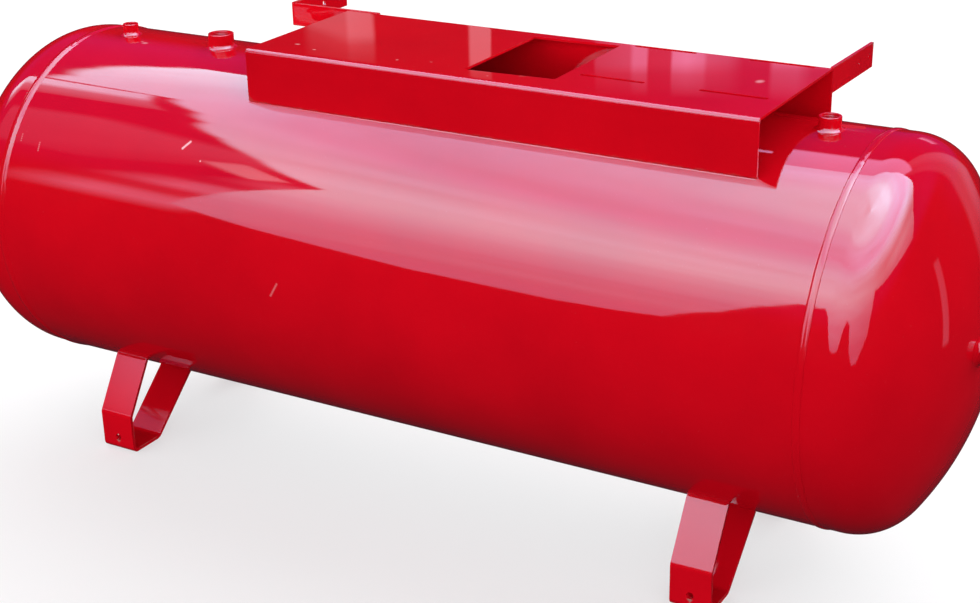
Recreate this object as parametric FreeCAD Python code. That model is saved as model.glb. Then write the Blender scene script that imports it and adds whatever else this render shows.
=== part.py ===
import FreeCAD, Part
import math
import os

from FreeCAD import Vector

# Horizontal pressure tank: a welded steel vessel lying on four bent feet, with a folded sheet
# platform on top for a pump and its motor. Millimetres. +X runs along the vessel, +Y to the back,
# +Z up. Shapes are made about the vessel's own middle plane, with the floor at height zero, and
# moved along Y when they are written, so that the origin is under the middle of the whole outline.

# Vessel
SHELL_DIAMETER = 600.0
SHELL_LENGTH = 1450.0
VESSEL_WALL = 5.0
HEAD_STRAIGHT = 26.0
HEAD_KNUCKLE_RADIUS = 95.0
HEAD_CROWN_RADIUS = 480.0
BELLY_CLEARANCE = 115.0
GIRTH_BEAD_WIDTH = 13.0
GIRTH_BEAD_HEIGHT = 2.2

# Gap left between a curved seat and the piece that stands on it, which the weld fills.
SEAT_GAP = 0.2

# Platform: a sheet folded down along both long sides, open at both ends
PLATFORM_LENGTH = 880.0
PLATFORM_WIDTH = 300.0
PLATFORM_RISE = 48.5
PLATFORM_SHEET = 4.0
PLATFORM_BEND = 7.0
PLATFORM_FROM_RIGHT_GIRTH = 128.0
PLATFORM_WELD_LEG = 4.0

# Opening in the platform, cut by hand, so its corners lie at four margins from the platform's sides
OPENING_LENGTH = 152.0
OPENING_FROM_PLATFORM_RIGHT = 347.0
OPENING_MARGIN_FRONT_LEFT = 46.0
OPENING_MARGIN_FRONT_RIGHT = 57.0
OPENING_MARGIN_REAR_LEFT = 26.0
OPENING_MARGIN_REAR_RIGHT = 20.0
OPENING_CORNER = 3.0

# Four slots for a sliding motor base, placed from the platform's right end and rear side
SLOT_LENGTH = 107.0
SLOT_WIDTH = 9.0
SLOT_SPACING_X = 194.0
SLOT_SPACING_Y = 191.0
SLOT_FROM_PLATFORM_RIGHT = 78.0
SLOT_FROM_PLATFORM_REAR = 12.0

# Guard brackets: flat bars that reach backwards from the platform's rear side
BRACKET_BAR_HEIGHT = 40.0
BRACKET_BAR_THICKNESS = 5.0
BRACKET_BEND = 8.0
BRACKET_RIGHT_REACH = 188.0
BRACKET_RIGHT_DROOP_DEG = 1.2
BRACKET_LEFT_REACH = 170.0
BRACKET_LEFT_OVERHANG = 129.0
BRACKET_LEFT_LAP = 60.0
BRACKET_HOLE_DIAMETER = 9.0
BRACKET_RIGHT_HOLE_END = 15.0
BRACKET_LEFT_HOLE_END = 22.0
BRACKET_HOLE_SPACING = 50.0
BRACKET_WELD_LEG = 4.0

# Threaded sockets: distance from the nearer girth weld, outer diameter, bore and height above
# the vessel. The head sockets lie off the axis, and the drain lies under the vessel's middle.
SOCKET_INSIDE = 6.0
SOCKET_CHAMFER = 1.2
SOCKET_WELD_LEG = 5.0
SMALL_SOCKET_FROM_LEFT_GIRTH = 70.0
SMALL_SOCKET_DIAMETER = 27.0
SMALL_SOCKET_BORE = 18.6
SMALL_SOCKET_HEIGHT = 19.0
LARGE_SOCKET_FROM_LEFT_GIRTH = 273.0
LARGE_SOCKET_DIAMETER = 44.0
LARGE_SOCKET_BORE = 30.3
LARGE_SOCKET_HEIGHT = 23.0
RIGHT_SOCKET_FROM_RIGHT_GIRTH = 78.0
RIGHT_SOCKET_DIAMETER = 34.0
RIGHT_SOCKET_BORE = 24.1
RIGHT_SOCKET_HEIGHT = 20.0
HEAD_SOCKET_DIAMETER = 34.0
HEAD_SOCKET_BORE = 24.1
HEAD_SOCKET_HEIGHT = 17.0
HEAD_SOCKET_Y = -49.0
HEAD_SOCKET_ABOVE_AXIS = 22.0
DRAIN_X = 0.0
DRAIN_DIAMETER = 27.0
DRAIN_BORE = 18.6
DRAIN_HEIGHT = 15.0

# Feet: flat bars bent to an open V with a flat sole
FOOT_FROM_LEFT_GIRTH = 142.0
FOOT_FROM_RIGHT_GIRTH = 179.0
FOOT_BAR_WIDTH = 68.0
FOOT_BAR_THICKNESS = 6.0
FOOT_HALF_TRACK = 222.0
FOOT_SOLE = 72.0
FOOT_UPRIGHT = 72.0
FOOT_OUTER_SEAT_Y = 165.0
FOOT_INNER_SEAT_Y = 22.0
FOOT_KNEE_BEND = 16.0
FOOT_TOE_BEND = 12.0
FOOT_HEEL_BEND = 20.0
FOOT_HOLE_DIAMETER = 12.0
FOOT_HOLE_HEIGHT = 26.0
FOOT_WELD_LEG = 6.0

SHELL_RADIUS = SHELL_DIAMETER / 2
BORE_RADIUS = SHELL_RADIUS - VESSEL_WALL
HALF_SHELL = SHELL_LENGTH / 2
AXIS_HEIGHT = BELLY_CLEARANCE + SHELL_RADIUS
HEAD_RIM_X = HALF_SHELL + HEAD_STRAIGHT
HEAD_RADIUS_STEP = HEAD_CROWN_RADIUS - HEAD_KNUCKLE_RADIUS
HEAD_KNUCKLE_Z = SHELL_RADIUS - HEAD_KNUCKLE_RADIUS
HEAD_CROWN_X = HEAD_RIM_X - math.sqrt(HEAD_RADIUS_STEP ** 2 - HEAD_KNUCKLE_Z ** 2)
HEAD_CROWN_TURN = math.asin(HEAD_KNUCKLE_Z / HEAD_RADIUS_STEP)
HEAD_POLE_X = HEAD_CROWN_X + HEAD_CROWN_RADIUS
PLATFORM_RIGHT = HALF_SHELL - PLATFORM_FROM_RIGHT_GIRTH
PLATFORM_LEFT = PLATFORM_RIGHT - PLATFORM_LENGTH
PLATFORM_HALF = PLATFORM_WIDTH / 2
PLATFORM_TOP = AXIS_HEIGHT + SHELL_RADIUS + PLATFORM_RISE
OPENING_RIGHT = PLATFORM_RIGHT - OPENING_FROM_PLATFORM_RIGHT
OPENING_LEFT = OPENING_RIGHT - OPENING_LENGTH
SLOT_RIGHT_X = PLATFORM_RIGHT - SLOT_FROM_PLATFORM_RIGHT
SLOT_REAR_Y = PLATFORM_HALF - SLOT_FROM_PLATFORM_REAR
SMALL_SOCKET_X = SMALL_SOCKET_FROM_LEFT_GIRTH - HALF_SHELL
LARGE_SOCKET_X = LARGE_SOCKET_FROM_LEFT_GIRTH - HALF_SHELL
RIGHT_SOCKET_X = HALF_SHELL - RIGHT_SOCKET_FROM_RIGHT_GIRTH
FOOT_LEFT_X = FOOT_FROM_LEFT_GIRTH - HALF_SHELL
FOOT_RIGHT_X = HALF_SHELL - FOOT_FROM_RIGHT_GIRTH
REAR_REACH = PLATFORM_HALF + max(BRACKET_RIGHT_REACH, BRACKET_LEFT_REACH)
VESSEL_SHIFT_Y = (SHELL_RADIUS - REAR_REACH) / 2

X_AXIS = Vector(1, 0, 0)
Y_AXIS = Vector(0, 1, 0)
Z_AXIS = Vector(0, 0, 1)
AXIS_POINT = Vector(0, 0, AXIS_HEIGHT)


def shell_height(y, radius=SHELL_RADIUS):
    """Height of the vessel's crown side above the axis at a distance y from its middle plane."""
    return math.sqrt(radius ** 2 - y ** 2)


def seat_cylinder():
    """The space that pieces standing on the shell keep clear of."""
    start = Vector(-SHELL_LENGTH, 0, AXIS_HEIGHT)
    return Part.makeCylinder(SHELL_RADIUS + SEAT_GAP, 2 * SHELL_LENGTH, start, X_AXIS)


def polygon_face(points):
    """A flat face through the points."""
    return Part.Face(Part.makePolygon(list(points) + [points[0]]))


def box(low, high):
    """A box from its low corner to its high corner."""
    size = Vector(high) - Vector(low)
    return Part.makeBox(size.x, size.y, size.z, Vector(low))


def edges_along(shape, direction, wanted):
    """The shape's straight edges along a direction whose middle the wanted test accepts."""
    found = []
    for edge in shape.Edges:
        if len(edge.Vertexes) < 2:
            continue
        run = edge.Vertexes[1].Point - edge.Vertexes[0].Point
        if run.Length > 1 and abs(run.normalize().dot(direction)) > 0.999 and wanted(edge.CenterOfMass):
            found.append(edge)
    return found


def vertical_hole(x, y, radius, low, high):
    """A round cutter along Z."""
    return Part.makeCylinder(radius, high - low, Vector(x, y, low), Z_AXIS)


def slot_cutter(x, y, length, width, low, high):
    """A round-ended slot along X, cut from low to high."""
    half_run = (length - width) / 2
    middle = box((x - half_run, y - width / 2, low), (x + half_run, y + width / 2, high))
    left = vertical_hole(x - half_run, y, width / 2, low, high)
    right = vertical_hole(x + half_run, y, width / 2, low, high)
    return middle.fuse([left, right]).removeSplitter()


# Vessel


def top_sockets():
    """The crown's sockets: name, place along the vessel, outer diameter, bore and height."""
    return [
        ("small", SMALL_SOCKET_X, SMALL_SOCKET_DIAMETER, SMALL_SOCKET_BORE, SMALL_SOCKET_HEIGHT),
        ("large", LARGE_SOCKET_X, LARGE_SOCKET_DIAMETER, LARGE_SOCKET_BORE, LARGE_SOCKET_HEIGHT),
        ("right", RIGHT_SOCKET_X, RIGHT_SOCKET_DIAMETER, RIGHT_SOCKET_BORE, RIGHT_SOCKET_HEIGHT),
    ]


def make_shell():
    """The rolled cylinder, with a hole for each socket that passes through it."""
    start = Vector(-HALF_SHELL, 0, AXIS_HEIGHT)
    shell = Part.makeCylinder(SHELL_RADIUS, SHELL_LENGTH, start, X_AXIS)
    shell = shell.cut(Part.makeCylinder(BORE_RADIUS, SHELL_LENGTH, start, X_AXIS))
    top = AXIS_HEIGHT + SHELL_DIAMETER
    holes = []
    for _, x, diameter, _, _ in top_sockets():
        holes.append(vertical_hole(x, 0, diameter / 2 + SEAT_GAP, AXIS_HEIGHT, top))
    holes.append(vertical_hole(DRAIN_X, 0, DRAIN_DIAMETER / 2 + SEAT_GAP, 0, AXIS_HEIGHT))
    return shell.cut(holes)


def arc_about(centre, radius, start, end):
    """An arc in the XZ plane between two angles, which count up from +X."""
    angles = (start, (start + end) / 2, end)
    points = [centre + Vector(math.cos(angle), 0, math.sin(angle)) * radius for angle in angles]
    return Part.Arc(*points).toShape()


def dished_line(inset):
    """The head's knuckle arc and crown arc, at a distance inside its outer face."""
    knuckle_centre = Vector(HEAD_RIM_X, 0, HEAD_KNUCKLE_Z)
    crown_centre = Vector(HEAD_CROWN_X, 0, 0)
    return [
        arc_about(knuckle_centre, HEAD_KNUCKLE_RADIUS - inset, math.pi / 2, HEAD_CROWN_TURN),
        arc_about(crown_centre, HEAD_CROWN_RADIUS - inset, HEAD_CROWN_TURN, 0),
    ]


def make_right_head():
    """A dished end: a straight flange, a knuckle and a crown, with a hole for its socket."""
    lines = [
        Part.makeLine(Vector(HALF_SHELL, 0, SHELL_RADIUS), Vector(HEAD_RIM_X, 0, SHELL_RADIUS)),
        Part.makeLine(Vector(HALF_SHELL, 0, BORE_RADIUS), Vector(HEAD_RIM_X, 0, BORE_RADIUS)),
        Part.makeLine(Vector(HALF_SHELL, 0, BORE_RADIUS), Vector(HALF_SHELL, 0, SHELL_RADIUS)),
        Part.makeLine(Vector(HEAD_POLE_X - VESSEL_WALL, 0, 0), Vector(HEAD_POLE_X, 0, 0)),
    ]
    edges = dished_line(0) + dished_line(VESSEL_WALL) + lines
    profile = Part.Face(Part.Wire(Part.__sortEdges__(edges)))
    head = profile.revolve(Vector(), X_AXIS, 360)
    hole_start = Vector(HEAD_RIM_X, HEAD_SOCKET_Y, HEAD_SOCKET_ABOVE_AXIS)
    hole_radius = HEAD_SOCKET_DIAMETER / 2 + SEAT_GAP
    head = head.cut(Part.makeCylinder(hole_radius, HEAD_POLE_X, hole_start, X_AXIS))
    head.translate(AXIS_POINT)
    return head


def make_right_girth_bead():
    """The crowned weld bead around the joint of the shell and the right head."""
    half = GIRTH_BEAD_WIDTH / 2
    foot = SHELL_RADIUS + SEAT_GAP
    left = Vector(HALF_SHELL - half, 0, foot)
    right = Vector(HALF_SHELL + half, 0, foot)
    crown = Part.Arc(left, Vector(HALF_SHELL, 0, SHELL_RADIUS + GIRTH_BEAD_HEIGHT), right).toShape()
    profile = Part.Face(Part.Wire([crown, Part.makeLine(right, left)]))
    bead = profile.revolve(Vector(), X_AXIS, 360)
    bead.translate(AXIS_POINT)
    return bead


def mirrored_in_x(shape):
    """The shape's mirror image in the vessel's middle cross-section."""
    return shape.mirror(Vector(), X_AXIS)


def mirrored_in_y(shape):
    """The shape's mirror image in the vessel's upright middle plane."""
    return shape.mirror(Vector(), Y_AXIS)


# Sockets


def ring_profile(points):
    """A solid turned about the Z axis from (radius, height) points."""
    face = polygon_face([Vector(radius, 0, height) for radius, height in points])
    return face.revolve(Vector(), Z_AXIS, 360)


def make_socket(diameter, bore, height):
    """A plain socket with chamfered rims, standing on height zero and reaching into the vessel."""
    outer = diameter / 2
    inner = bore / 2
    low = -VESSEL_WALL - SOCKET_INSIDE
    chamfer = SOCKET_CHAMFER
    return ring_profile([
        (inner, low),
        (outer, low),
        (outer, height - chamfer),
        (outer - chamfer, height),
        (inner + chamfer, height),
        (inner, height - chamfer),
    ])


def make_socket_fillet(diameter):
    """A sloping ring weld around a socket, before its underside is shaped to the vessel."""
    inner = diameter / 2 + SEAT_GAP
    low = -2 * SOCKET_WELD_LEG
    toe = inner + SOCKET_WELD_LEG
    return ring_profile([(inner, low), (toe, low), (toe, 0), (inner, SOCKET_WELD_LEG)])


def standing_on_crown(shape, x):
    """Moves a shape from height zero to the vessel's crown line."""
    return shape.translated(Vector(x, 0, AXIS_HEIGHT + SHELL_RADIUS))


def hanging_under_belly(shape, x):
    """Turns a shape over and moves it to the vessel's lowest line."""
    turned = shape.copy()
    turned.rotate(Vector(), X_AXIS, 180)
    return turned.translated(Vector(x, 0, AXIS_HEIGHT - SHELL_RADIUS))


def standing_on_right_head(shape):
    """Turns a shape's Z axis to +X and moves it from height zero to the head socket's place."""
    turned = shape.copy()
    turned.rotate(Vector(), Y_AXIS, 90)
    off_axis = math.hypot(HEAD_SOCKET_Y, HEAD_SOCKET_ABOVE_AXIS)
    x = HEAD_CROWN_X + math.sqrt(HEAD_CROWN_RADIUS ** 2 - off_axis ** 2)
    return turned.translated(Vector(x, HEAD_SOCKET_Y, AXIS_HEIGHT + HEAD_SOCKET_ABOVE_AXIS))


def seat_sphere():
    """The space that a piece standing on the right head's crown keeps clear of."""
    return Part.makeSphere(HEAD_CROWN_RADIUS + SEAT_GAP, Vector(HEAD_CROWN_X, 0, AXIS_HEIGHT))


# Platform


def flange_foot():
    """Height of the platform's flange ends, where their inner corners stand on the shell."""
    inner_face = PLATFORM_HALF - PLATFORM_SHEET
    return AXIS_HEIGHT + shell_height(inner_face, SHELL_RADIUS + SEAT_GAP)


def make_platform():
    """The folded sheet, with its opening and the four slots for a motor base."""
    low = flange_foot()
    inside = PLATFORM_HALF - PLATFORM_SHEET
    underside = PLATFORM_TOP - PLATFORM_SHEET
    sheet = box((PLATFORM_LEFT, -PLATFORM_HALF, low), (PLATFORM_RIGHT, PLATFORM_HALF, PLATFORM_TOP))
    outer_bends = edges_along(sheet, X_AXIS, lambda middle: middle.z > underside)
    sheet = sheet.makeFillet(PLATFORM_BEND, outer_bends)
    space = box((PLATFORM_LEFT, -inside, low), (PLATFORM_RIGHT, inside, underside))
    inner_bends = edges_along(space, X_AXIS, lambda middle: middle.z > low + PLATFORM_SHEET)
    space = space.makeFillet(PLATFORM_BEND - PLATFORM_SHEET, inner_bends)
    return sheet.cut(space).cut([opening_cutter()] + motor_slots())


def opening_cutter():
    """The opening's four-sided cutter, with slightly rounded corners."""
    low = PLATFORM_TOP - 2 * PLATFORM_SHEET
    outline = polygon_face([
        Vector(OPENING_LEFT, OPENING_MARGIN_FRONT_LEFT - PLATFORM_HALF, low),
        Vector(OPENING_RIGHT, OPENING_MARGIN_FRONT_RIGHT - PLATFORM_HALF, low),
        Vector(OPENING_RIGHT, PLATFORM_HALF - OPENING_MARGIN_REAR_RIGHT, low),
        Vector(OPENING_LEFT, PLATFORM_HALF - OPENING_MARGIN_REAR_LEFT, low),
    ])
    cutter = outline.extrude(Vector(0, 0, 3 * PLATFORM_SHEET))
    return cutter.makeFillet(OPENING_CORNER, edges_along(cutter, Z_AXIS, lambda middle: True))


def motor_slots():
    """Cutters for the four slots, which run along the vessel."""
    low = PLATFORM_TOP - 2 * PLATFORM_SHEET
    high = PLATFORM_TOP + PLATFORM_SHEET
    cutters = []
    for x in (SLOT_RIGHT_X, SLOT_RIGHT_X - SLOT_SPACING_X):
        for y in (SLOT_REAR_Y, SLOT_REAR_Y - SLOT_SPACING_Y):
            cutters.append(slot_cutter(x, y, SLOT_LENGTH, SLOT_WIDTH, low, high))
    return cutters


def make_front_platform_weld():
    """The fillet weld along the front flange's foot, shaped to the shell."""
    low = flange_foot()
    outer = -PLATFORM_HALF
    toe = outer - PLATFORM_WELD_LEG
    inside_shell = AXIS_HEIGHT + shell_height(toe) - PLATFORM_WELD_LEG
    face = polygon_face([
        Vector(PLATFORM_LEFT, outer, low + PLATFORM_WELD_LEG),
        Vector(PLATFORM_LEFT, outer, inside_shell),
        Vector(PLATFORM_LEFT, toe, inside_shell),
        Vector(PLATFORM_LEFT, toe, AXIS_HEIGHT + shell_height(toe) + SEAT_GAP),
    ])
    return face.extrude(Vector(PLATFORM_LENGTH, 0, 0)).cut(seat_cylinder())


# Guard brackets


def bracket_holes(x, end_y, first):
    """Cutters along X for a bracket's two holes, the first at a distance from its far end."""
    height = PLATFORM_TOP - BRACKET_BAR_HEIGHT / 2
    start_x = x - BRACKET_BAR_THICKNESS
    cutters = []
    for distance in (first, first + BRACKET_HOLE_SPACING):
        start = Vector(start_x, end_y - distance, height)
        cutters.append(Part.makeCylinder(BRACKET_HOLE_DIAMETER / 2, 3 * BRACKET_BAR_THICKNESS, start, X_AXIS))
    return cutters


def make_right_bracket():
    """A straight bar on edge, butted to the rear flange at the platform's right end."""
    left = PLATFORM_RIGHT - BRACKET_BAR_THICKNESS
    low = PLATFORM_TOP - BRACKET_BAR_HEIGHT
    end_y = PLATFORM_HALF + BRACKET_RIGHT_REACH
    root = PLATFORM_HALF - BRACKET_BAR_THICKNESS
    bar = box((left, root, low), (PLATFORM_RIGHT, end_y, PLATFORM_TOP))
    bar = bar.cut(bracket_holes(left, end_y, BRACKET_RIGHT_HOLE_END))
    bar.rotate(Vector(0, PLATFORM_HALF, PLATFORM_TOP), X_AXIS, -BRACKET_RIGHT_DROOP_DEG)
    behind = box((left, PLATFORM_HALF, 0), (PLATFORM_RIGHT, 2 * end_y, 2 * PLATFORM_TOP))
    return bar.common(behind)


def make_right_bracket_weld():
    """An upright fillet weld in the corner of the rear flange and the right bracket."""
    x = PLATFORM_RIGHT - BRACKET_BAR_THICKNESS
    low = PLATFORM_TOP - BRACKET_BAR_HEIGHT
    face = polygon_face([
        Vector(x, PLATFORM_HALF, low),
        Vector(x - BRACKET_WELD_LEG, PLATFORM_HALF, low),
        Vector(x, PLATFORM_HALF + BRACKET_WELD_LEG, low),
    ])
    return face.extrude(Vector(0, 0, BRACKET_BAR_HEIGHT - PLATFORM_BEND))


def make_left_bracket():
    """A bar on edge, lapped on the rear flange, run out to the left and bent backwards."""
    left = PLATFORM_LEFT - BRACKET_LEFT_OVERHANG
    right = PLATFORM_LEFT + BRACKET_LEFT_LAP
    low = PLATFORM_TOP - BRACKET_BAR_HEIGHT
    end_y = PLATFORM_HALF + BRACKET_LEFT_REACH
    inner_x = left + BRACKET_BAR_THICKNESS
    inner_y = PLATFORM_HALF + BRACKET_BAR_THICKNESS
    face = polygon_face([
        Vector(right, PLATFORM_HALF, low),
        Vector(right, inner_y, low),
        Vector(inner_x, inner_y, low),
        Vector(inner_x, end_y, low),
        Vector(left, end_y, low),
        Vector(left, PLATFORM_HALF, low),
    ])
    bar = face.extrude(Vector(0, 0, BRACKET_BAR_HEIGHT))
    inner = edges_along(bar, Z_AXIS, lambda m: abs(m.x - inner_x) + abs(m.y - inner_y) < 1)
    bar = bar.makeFillet(BRACKET_BEND - BRACKET_BAR_THICKNESS, inner)
    outer = edges_along(bar, Z_AXIS, lambda m: abs(m.x - left) + abs(m.y - PLATFORM_HALF) < 1)
    bar = bar.makeFillet(BRACKET_BEND, outer)
    return bar.cut(bracket_holes(left, end_y, BRACKET_LEFT_HOLE_END))


def make_left_bracket_weld():
    """Fillet welds under the left bracket's lap and up its right end."""
    start = PLATFORM_LEFT + BRACKET_WELD_LEG
    low = PLATFORM_TOP - BRACKET_BAR_HEIGHT
    under = polygon_face([
        Vector(start, PLATFORM_HALF, low),
        Vector(start, PLATFORM_HALF + BRACKET_WELD_LEG, low),
        Vector(start, PLATFORM_HALF, low - BRACKET_WELD_LEG),
    ]).extrude(Vector(BRACKET_LEFT_LAP - 2 * BRACKET_WELD_LEG, 0, 0))
    right = PLATFORM_LEFT + BRACKET_LEFT_LAP
    end = polygon_face([
        Vector(right, PLATFORM_HALF, low),
        Vector(right + BRACKET_WELD_LEG, PLATFORM_HALF, low),
        Vector(right, PLATFORM_HALF + BRACKET_WELD_LEG, low),
    ]).extrude(Vector(0, 0, BRACKET_BAR_HEIGHT - PLATFORM_BEND))
    return Part.makeCompound([under, end])


# Feet


def front_foot_line():
    """The outer face's corners as (y, z): seat, knee, toe, heel, seat under the belly."""
    return [
        Vector(0, -FOOT_OUTER_SEAT_Y, AXIS_HEIGHT - shell_height(FOOT_OUTER_SEAT_Y)),
        Vector(0, -FOOT_HALF_TRACK, FOOT_UPRIGHT),
        Vector(0, -FOOT_HALF_TRACK, 0),
        Vector(0, FOOT_SOLE - FOOT_HALF_TRACK, 0),
        Vector(0, -FOOT_INNER_SEAT_Y, AXIS_HEIGHT - shell_height(FOOT_INNER_SEAT_Y)),
    ]


def unit(vector):
    """The vector's direction."""
    return Vector(vector).normalize()


def inward(run):
    """The direction square to a run of the foot that points into the foot's hollow."""
    return Vector(0, -run.z, run.y)


def offset_line(points, thickness):
    """The line through the points, moved by the bar's thickness into the foot's hollow."""
    runs = [unit(b - a) for a, b in zip(points, points[1:])]
    moved = [points[0] + inward(runs[0]) * thickness]
    for point, before, after in zip(points[1:-1], runs, runs[1:]):
        half_way = unit(inward(before) + inward(after))
        moved.append(point + half_way * (thickness / half_way.dot(inward(before))))
    moved.append(points[-1] + inward(runs[-1]) * thickness)
    return moved


def make_front_foot(x):
    """A bent flat bar centred at x, cut off where it meets the shell, with a hole in its upright."""
    outer = front_foot_line()
    overrun = 3 * FOOT_BAR_THICKNESS
    outer[0] = outer[0] + unit(outer[0] - outer[1]) * overrun
    outer[-1] = outer[-1] + unit(outer[-1] - outer[-2]) * overrun
    inner = offset_line(outer, FOOT_BAR_THICKNESS)
    start = Vector(x - FOOT_BAR_WIDTH / 2, 0, 0)
    face = polygon_face([point + start for point in outer + inner[::-1]])
    bar = face.extrude(Vector(FOOT_BAR_WIDTH, 0, 0))
    bends = (FOOT_KNEE_BEND, FOOT_TOE_BEND, FOOT_HEEL_BEND)
    for outside, inside, radius in zip(outer[1:-1], inner[1:-1], bends):
        bar = bar.makeFillet(radius, edges_near(bar, outside))
        bar = bar.makeFillet(radius - FOOT_BAR_THICKNESS, edges_near(bar, inside))
    hole_start = Vector(x, -FOOT_HALF_TRACK - FOOT_BAR_THICKNESS, FOOT_HOLE_HEIGHT)
    hole = Part.makeCylinder(FOOT_HOLE_DIAMETER / 2, 3 * FOOT_BAR_THICKNESS, hole_start, Y_AXIS)
    return bar.cut([hole, seat_cylinder()])


def edges_near(shape, corner):
    """The edge along X that passes through a corner of the foot's outline."""
    return edges_along(shape, X_AXIS, lambda m: abs(m.y - corner.y) + abs(m.z - corner.z) < 1)


def make_front_foot_weld(x):
    """The fillet welds outside a foot's two ends, where they meet the shell."""
    line = front_foot_line()
    outer = seat_weld(x, line[0], line[1], -1)
    inner = seat_weld(x, line[-1], line[-2], 1)
    return Part.makeCompound([outer, inner])


def seat_weld(x, seat, further, side):
    """A fillet across the bar between its outer face and the shell, on one side of its seat."""
    down_the_bar = unit(further - seat) * FOOT_WELD_LEG
    radial = unit(seat - AXIS_POINT)
    along_shell = Vector(0, side * abs(radial.z), -side * radial.y * abs(radial.z) / radial.z)
    toe = seat + along_shell * FOOT_WELD_LEG
    into_shell = radial * -FOOT_WELD_LEG
    start = Vector(x - FOOT_BAR_WIDTH / 2, 0, 0)
    corners = [seat + down_the_bar, toe, toe + into_shell, seat + into_shell, seat]
    face = polygon_face([corner + start for corner in corners])
    return face.extrude(Vector(FOOT_BAR_WIDTH, 0, 0)).cut(seat_cylinder())


def add_pair(nodes, left_name, right_name, right_shape):
    """Adds a shape of the vessel's right end and its mirror image at the left end."""
    nodes[right_name] = right_shape
    nodes[left_name] = mirrored_in_x(right_shape)


def all_nodes():
    """Every piece by its node's name, about the vessel's own middle plane."""
    nodes = {"shell": make_shell()}
    add_pair(nodes, "head_left", "head_right", make_right_head())
    add_pair(nodes, "girth_weld_left", "girth_weld_right", make_right_girth_bead())

    seat = seat_cylinder()
    for name, x, diameter, bore, height in top_sockets():
        nodes[f"top_socket_{name}"] = standing_on_crown(make_socket(diameter, bore, height), x)
        nodes[f"top_socket_{name}_weld"] = standing_on_crown(make_socket_fillet(diameter), x).cut(seat)
    drain = make_socket(DRAIN_DIAMETER, DRAIN_BORE, DRAIN_HEIGHT)
    nodes["drain_socket"] = hanging_under_belly(drain, DRAIN_X)
    nodes["drain_socket_weld"] = hanging_under_belly(make_socket_fillet(DRAIN_DIAMETER), DRAIN_X).cut(seat)
    head_socket = make_socket(HEAD_SOCKET_DIAMETER, HEAD_SOCKET_BORE, HEAD_SOCKET_HEIGHT)
    head_socket = standing_on_right_head(head_socket)
    head_fillet = standing_on_right_head(make_socket_fillet(HEAD_SOCKET_DIAMETER)).cut(seat_sphere())
    add_pair(nodes, "head_socket_left", "head_socket_right", head_socket)
    add_pair(nodes, "head_socket_left_weld", "head_socket_right_weld", head_fillet)

    nodes["platform"] = make_platform()
    nodes["platform_weld_front"] = make_front_platform_weld()
    nodes["platform_weld_rear"] = mirrored_in_y(nodes["platform_weld_front"])
    nodes["guard_bracket_left"] = make_left_bracket()
    nodes["guard_bracket_left_weld"] = make_left_bracket_weld()
    nodes["guard_bracket_right"] = make_right_bracket()
    nodes["guard_bracket_right_weld"] = make_right_bracket_weld()

    for end, x in (("left", FOOT_LEFT_X), ("right", FOOT_RIGHT_X)):
        foot = make_front_foot(x)
        weld = make_front_foot_weld(x)
        nodes[f"foot_front_{end}"] = foot
        nodes[f"foot_rear_{end}"] = mirrored_in_y(foot)
        nodes[f"foot_front_{end}_weld"] = weld
        nodes[f"foot_rear_{end}_weld"] = mirrored_in_y(weld)
    return nodes


def write_nodes():
    """Writes each piece to its own file, moved so that the origin is under the outline's middle."""
    os.makedirs("parts", exist_ok=True)
    for name, shape in all_nodes().items():
        shape.translated(Vector(0, VESSEL_SHIFT_Y, 0)).exportStep(f"parts/{name}.step")


write_nodes()
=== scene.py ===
"""Looks of a red enamelled horizontal pressure tank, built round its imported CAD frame.

Lengths are metres in the frame's own axes: the vessel lies along X, its front faces -Y, and it stands on z = 0.
"""

import math

import bmesh
import bpy
import numpy as np
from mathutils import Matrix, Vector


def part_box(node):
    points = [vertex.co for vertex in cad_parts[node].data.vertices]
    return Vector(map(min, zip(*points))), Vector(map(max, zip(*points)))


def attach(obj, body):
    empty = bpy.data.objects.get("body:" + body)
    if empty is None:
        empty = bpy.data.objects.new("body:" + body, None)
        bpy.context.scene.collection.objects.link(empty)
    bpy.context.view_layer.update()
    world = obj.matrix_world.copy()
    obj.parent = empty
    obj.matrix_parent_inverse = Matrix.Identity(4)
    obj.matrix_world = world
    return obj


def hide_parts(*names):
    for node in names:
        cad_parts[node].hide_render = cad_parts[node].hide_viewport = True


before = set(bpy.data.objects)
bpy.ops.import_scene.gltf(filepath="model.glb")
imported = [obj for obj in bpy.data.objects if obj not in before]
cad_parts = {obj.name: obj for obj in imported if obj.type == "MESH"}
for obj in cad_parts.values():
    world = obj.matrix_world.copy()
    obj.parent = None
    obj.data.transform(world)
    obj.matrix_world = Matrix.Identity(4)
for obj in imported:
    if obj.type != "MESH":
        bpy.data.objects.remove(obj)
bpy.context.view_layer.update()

bl_info = {
    "name": "Horizontal Pressure Tank",
    "version": (1, 0, 0),
    "blender": (4, 5, 0),
    "location": "3D View > Sidebar > Tank",
    "description": "Builds a red enamelled horizontal pressure tank and its studio round a packed frame",
    "category": "Object",
}

BODY = "root"

MM = 0.001
TURN = 2 * math.pi

# The vessel's main measures, from the frame
SHELL_LOW, SHELL_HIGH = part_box("shell")
PLATFORM_LOW, PLATFORM_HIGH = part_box("platform")
HALF_LENGTH = SHELL_HIGH.x
RADIUS = (SHELL_HIGH.z - SHELL_LOW.z) / 2
AXIS_Y = (SHELL_LOW.y + SHELL_HIGH.y) / 2
AXIS_Z = (SHELL_LOW.z + SHELL_HIGH.z) / 2
HEAD_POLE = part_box("head_right")[1].x

# Grid sizes: steps round the vessel, and the soft waves' fade beside a girth weld
VESSEL_TURNS = 240
SHELL_ROWS_OUTSIDE, SHELL_ROWS_INSIDE = 184, 24
WAVE_FADE = 60 * MM

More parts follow.
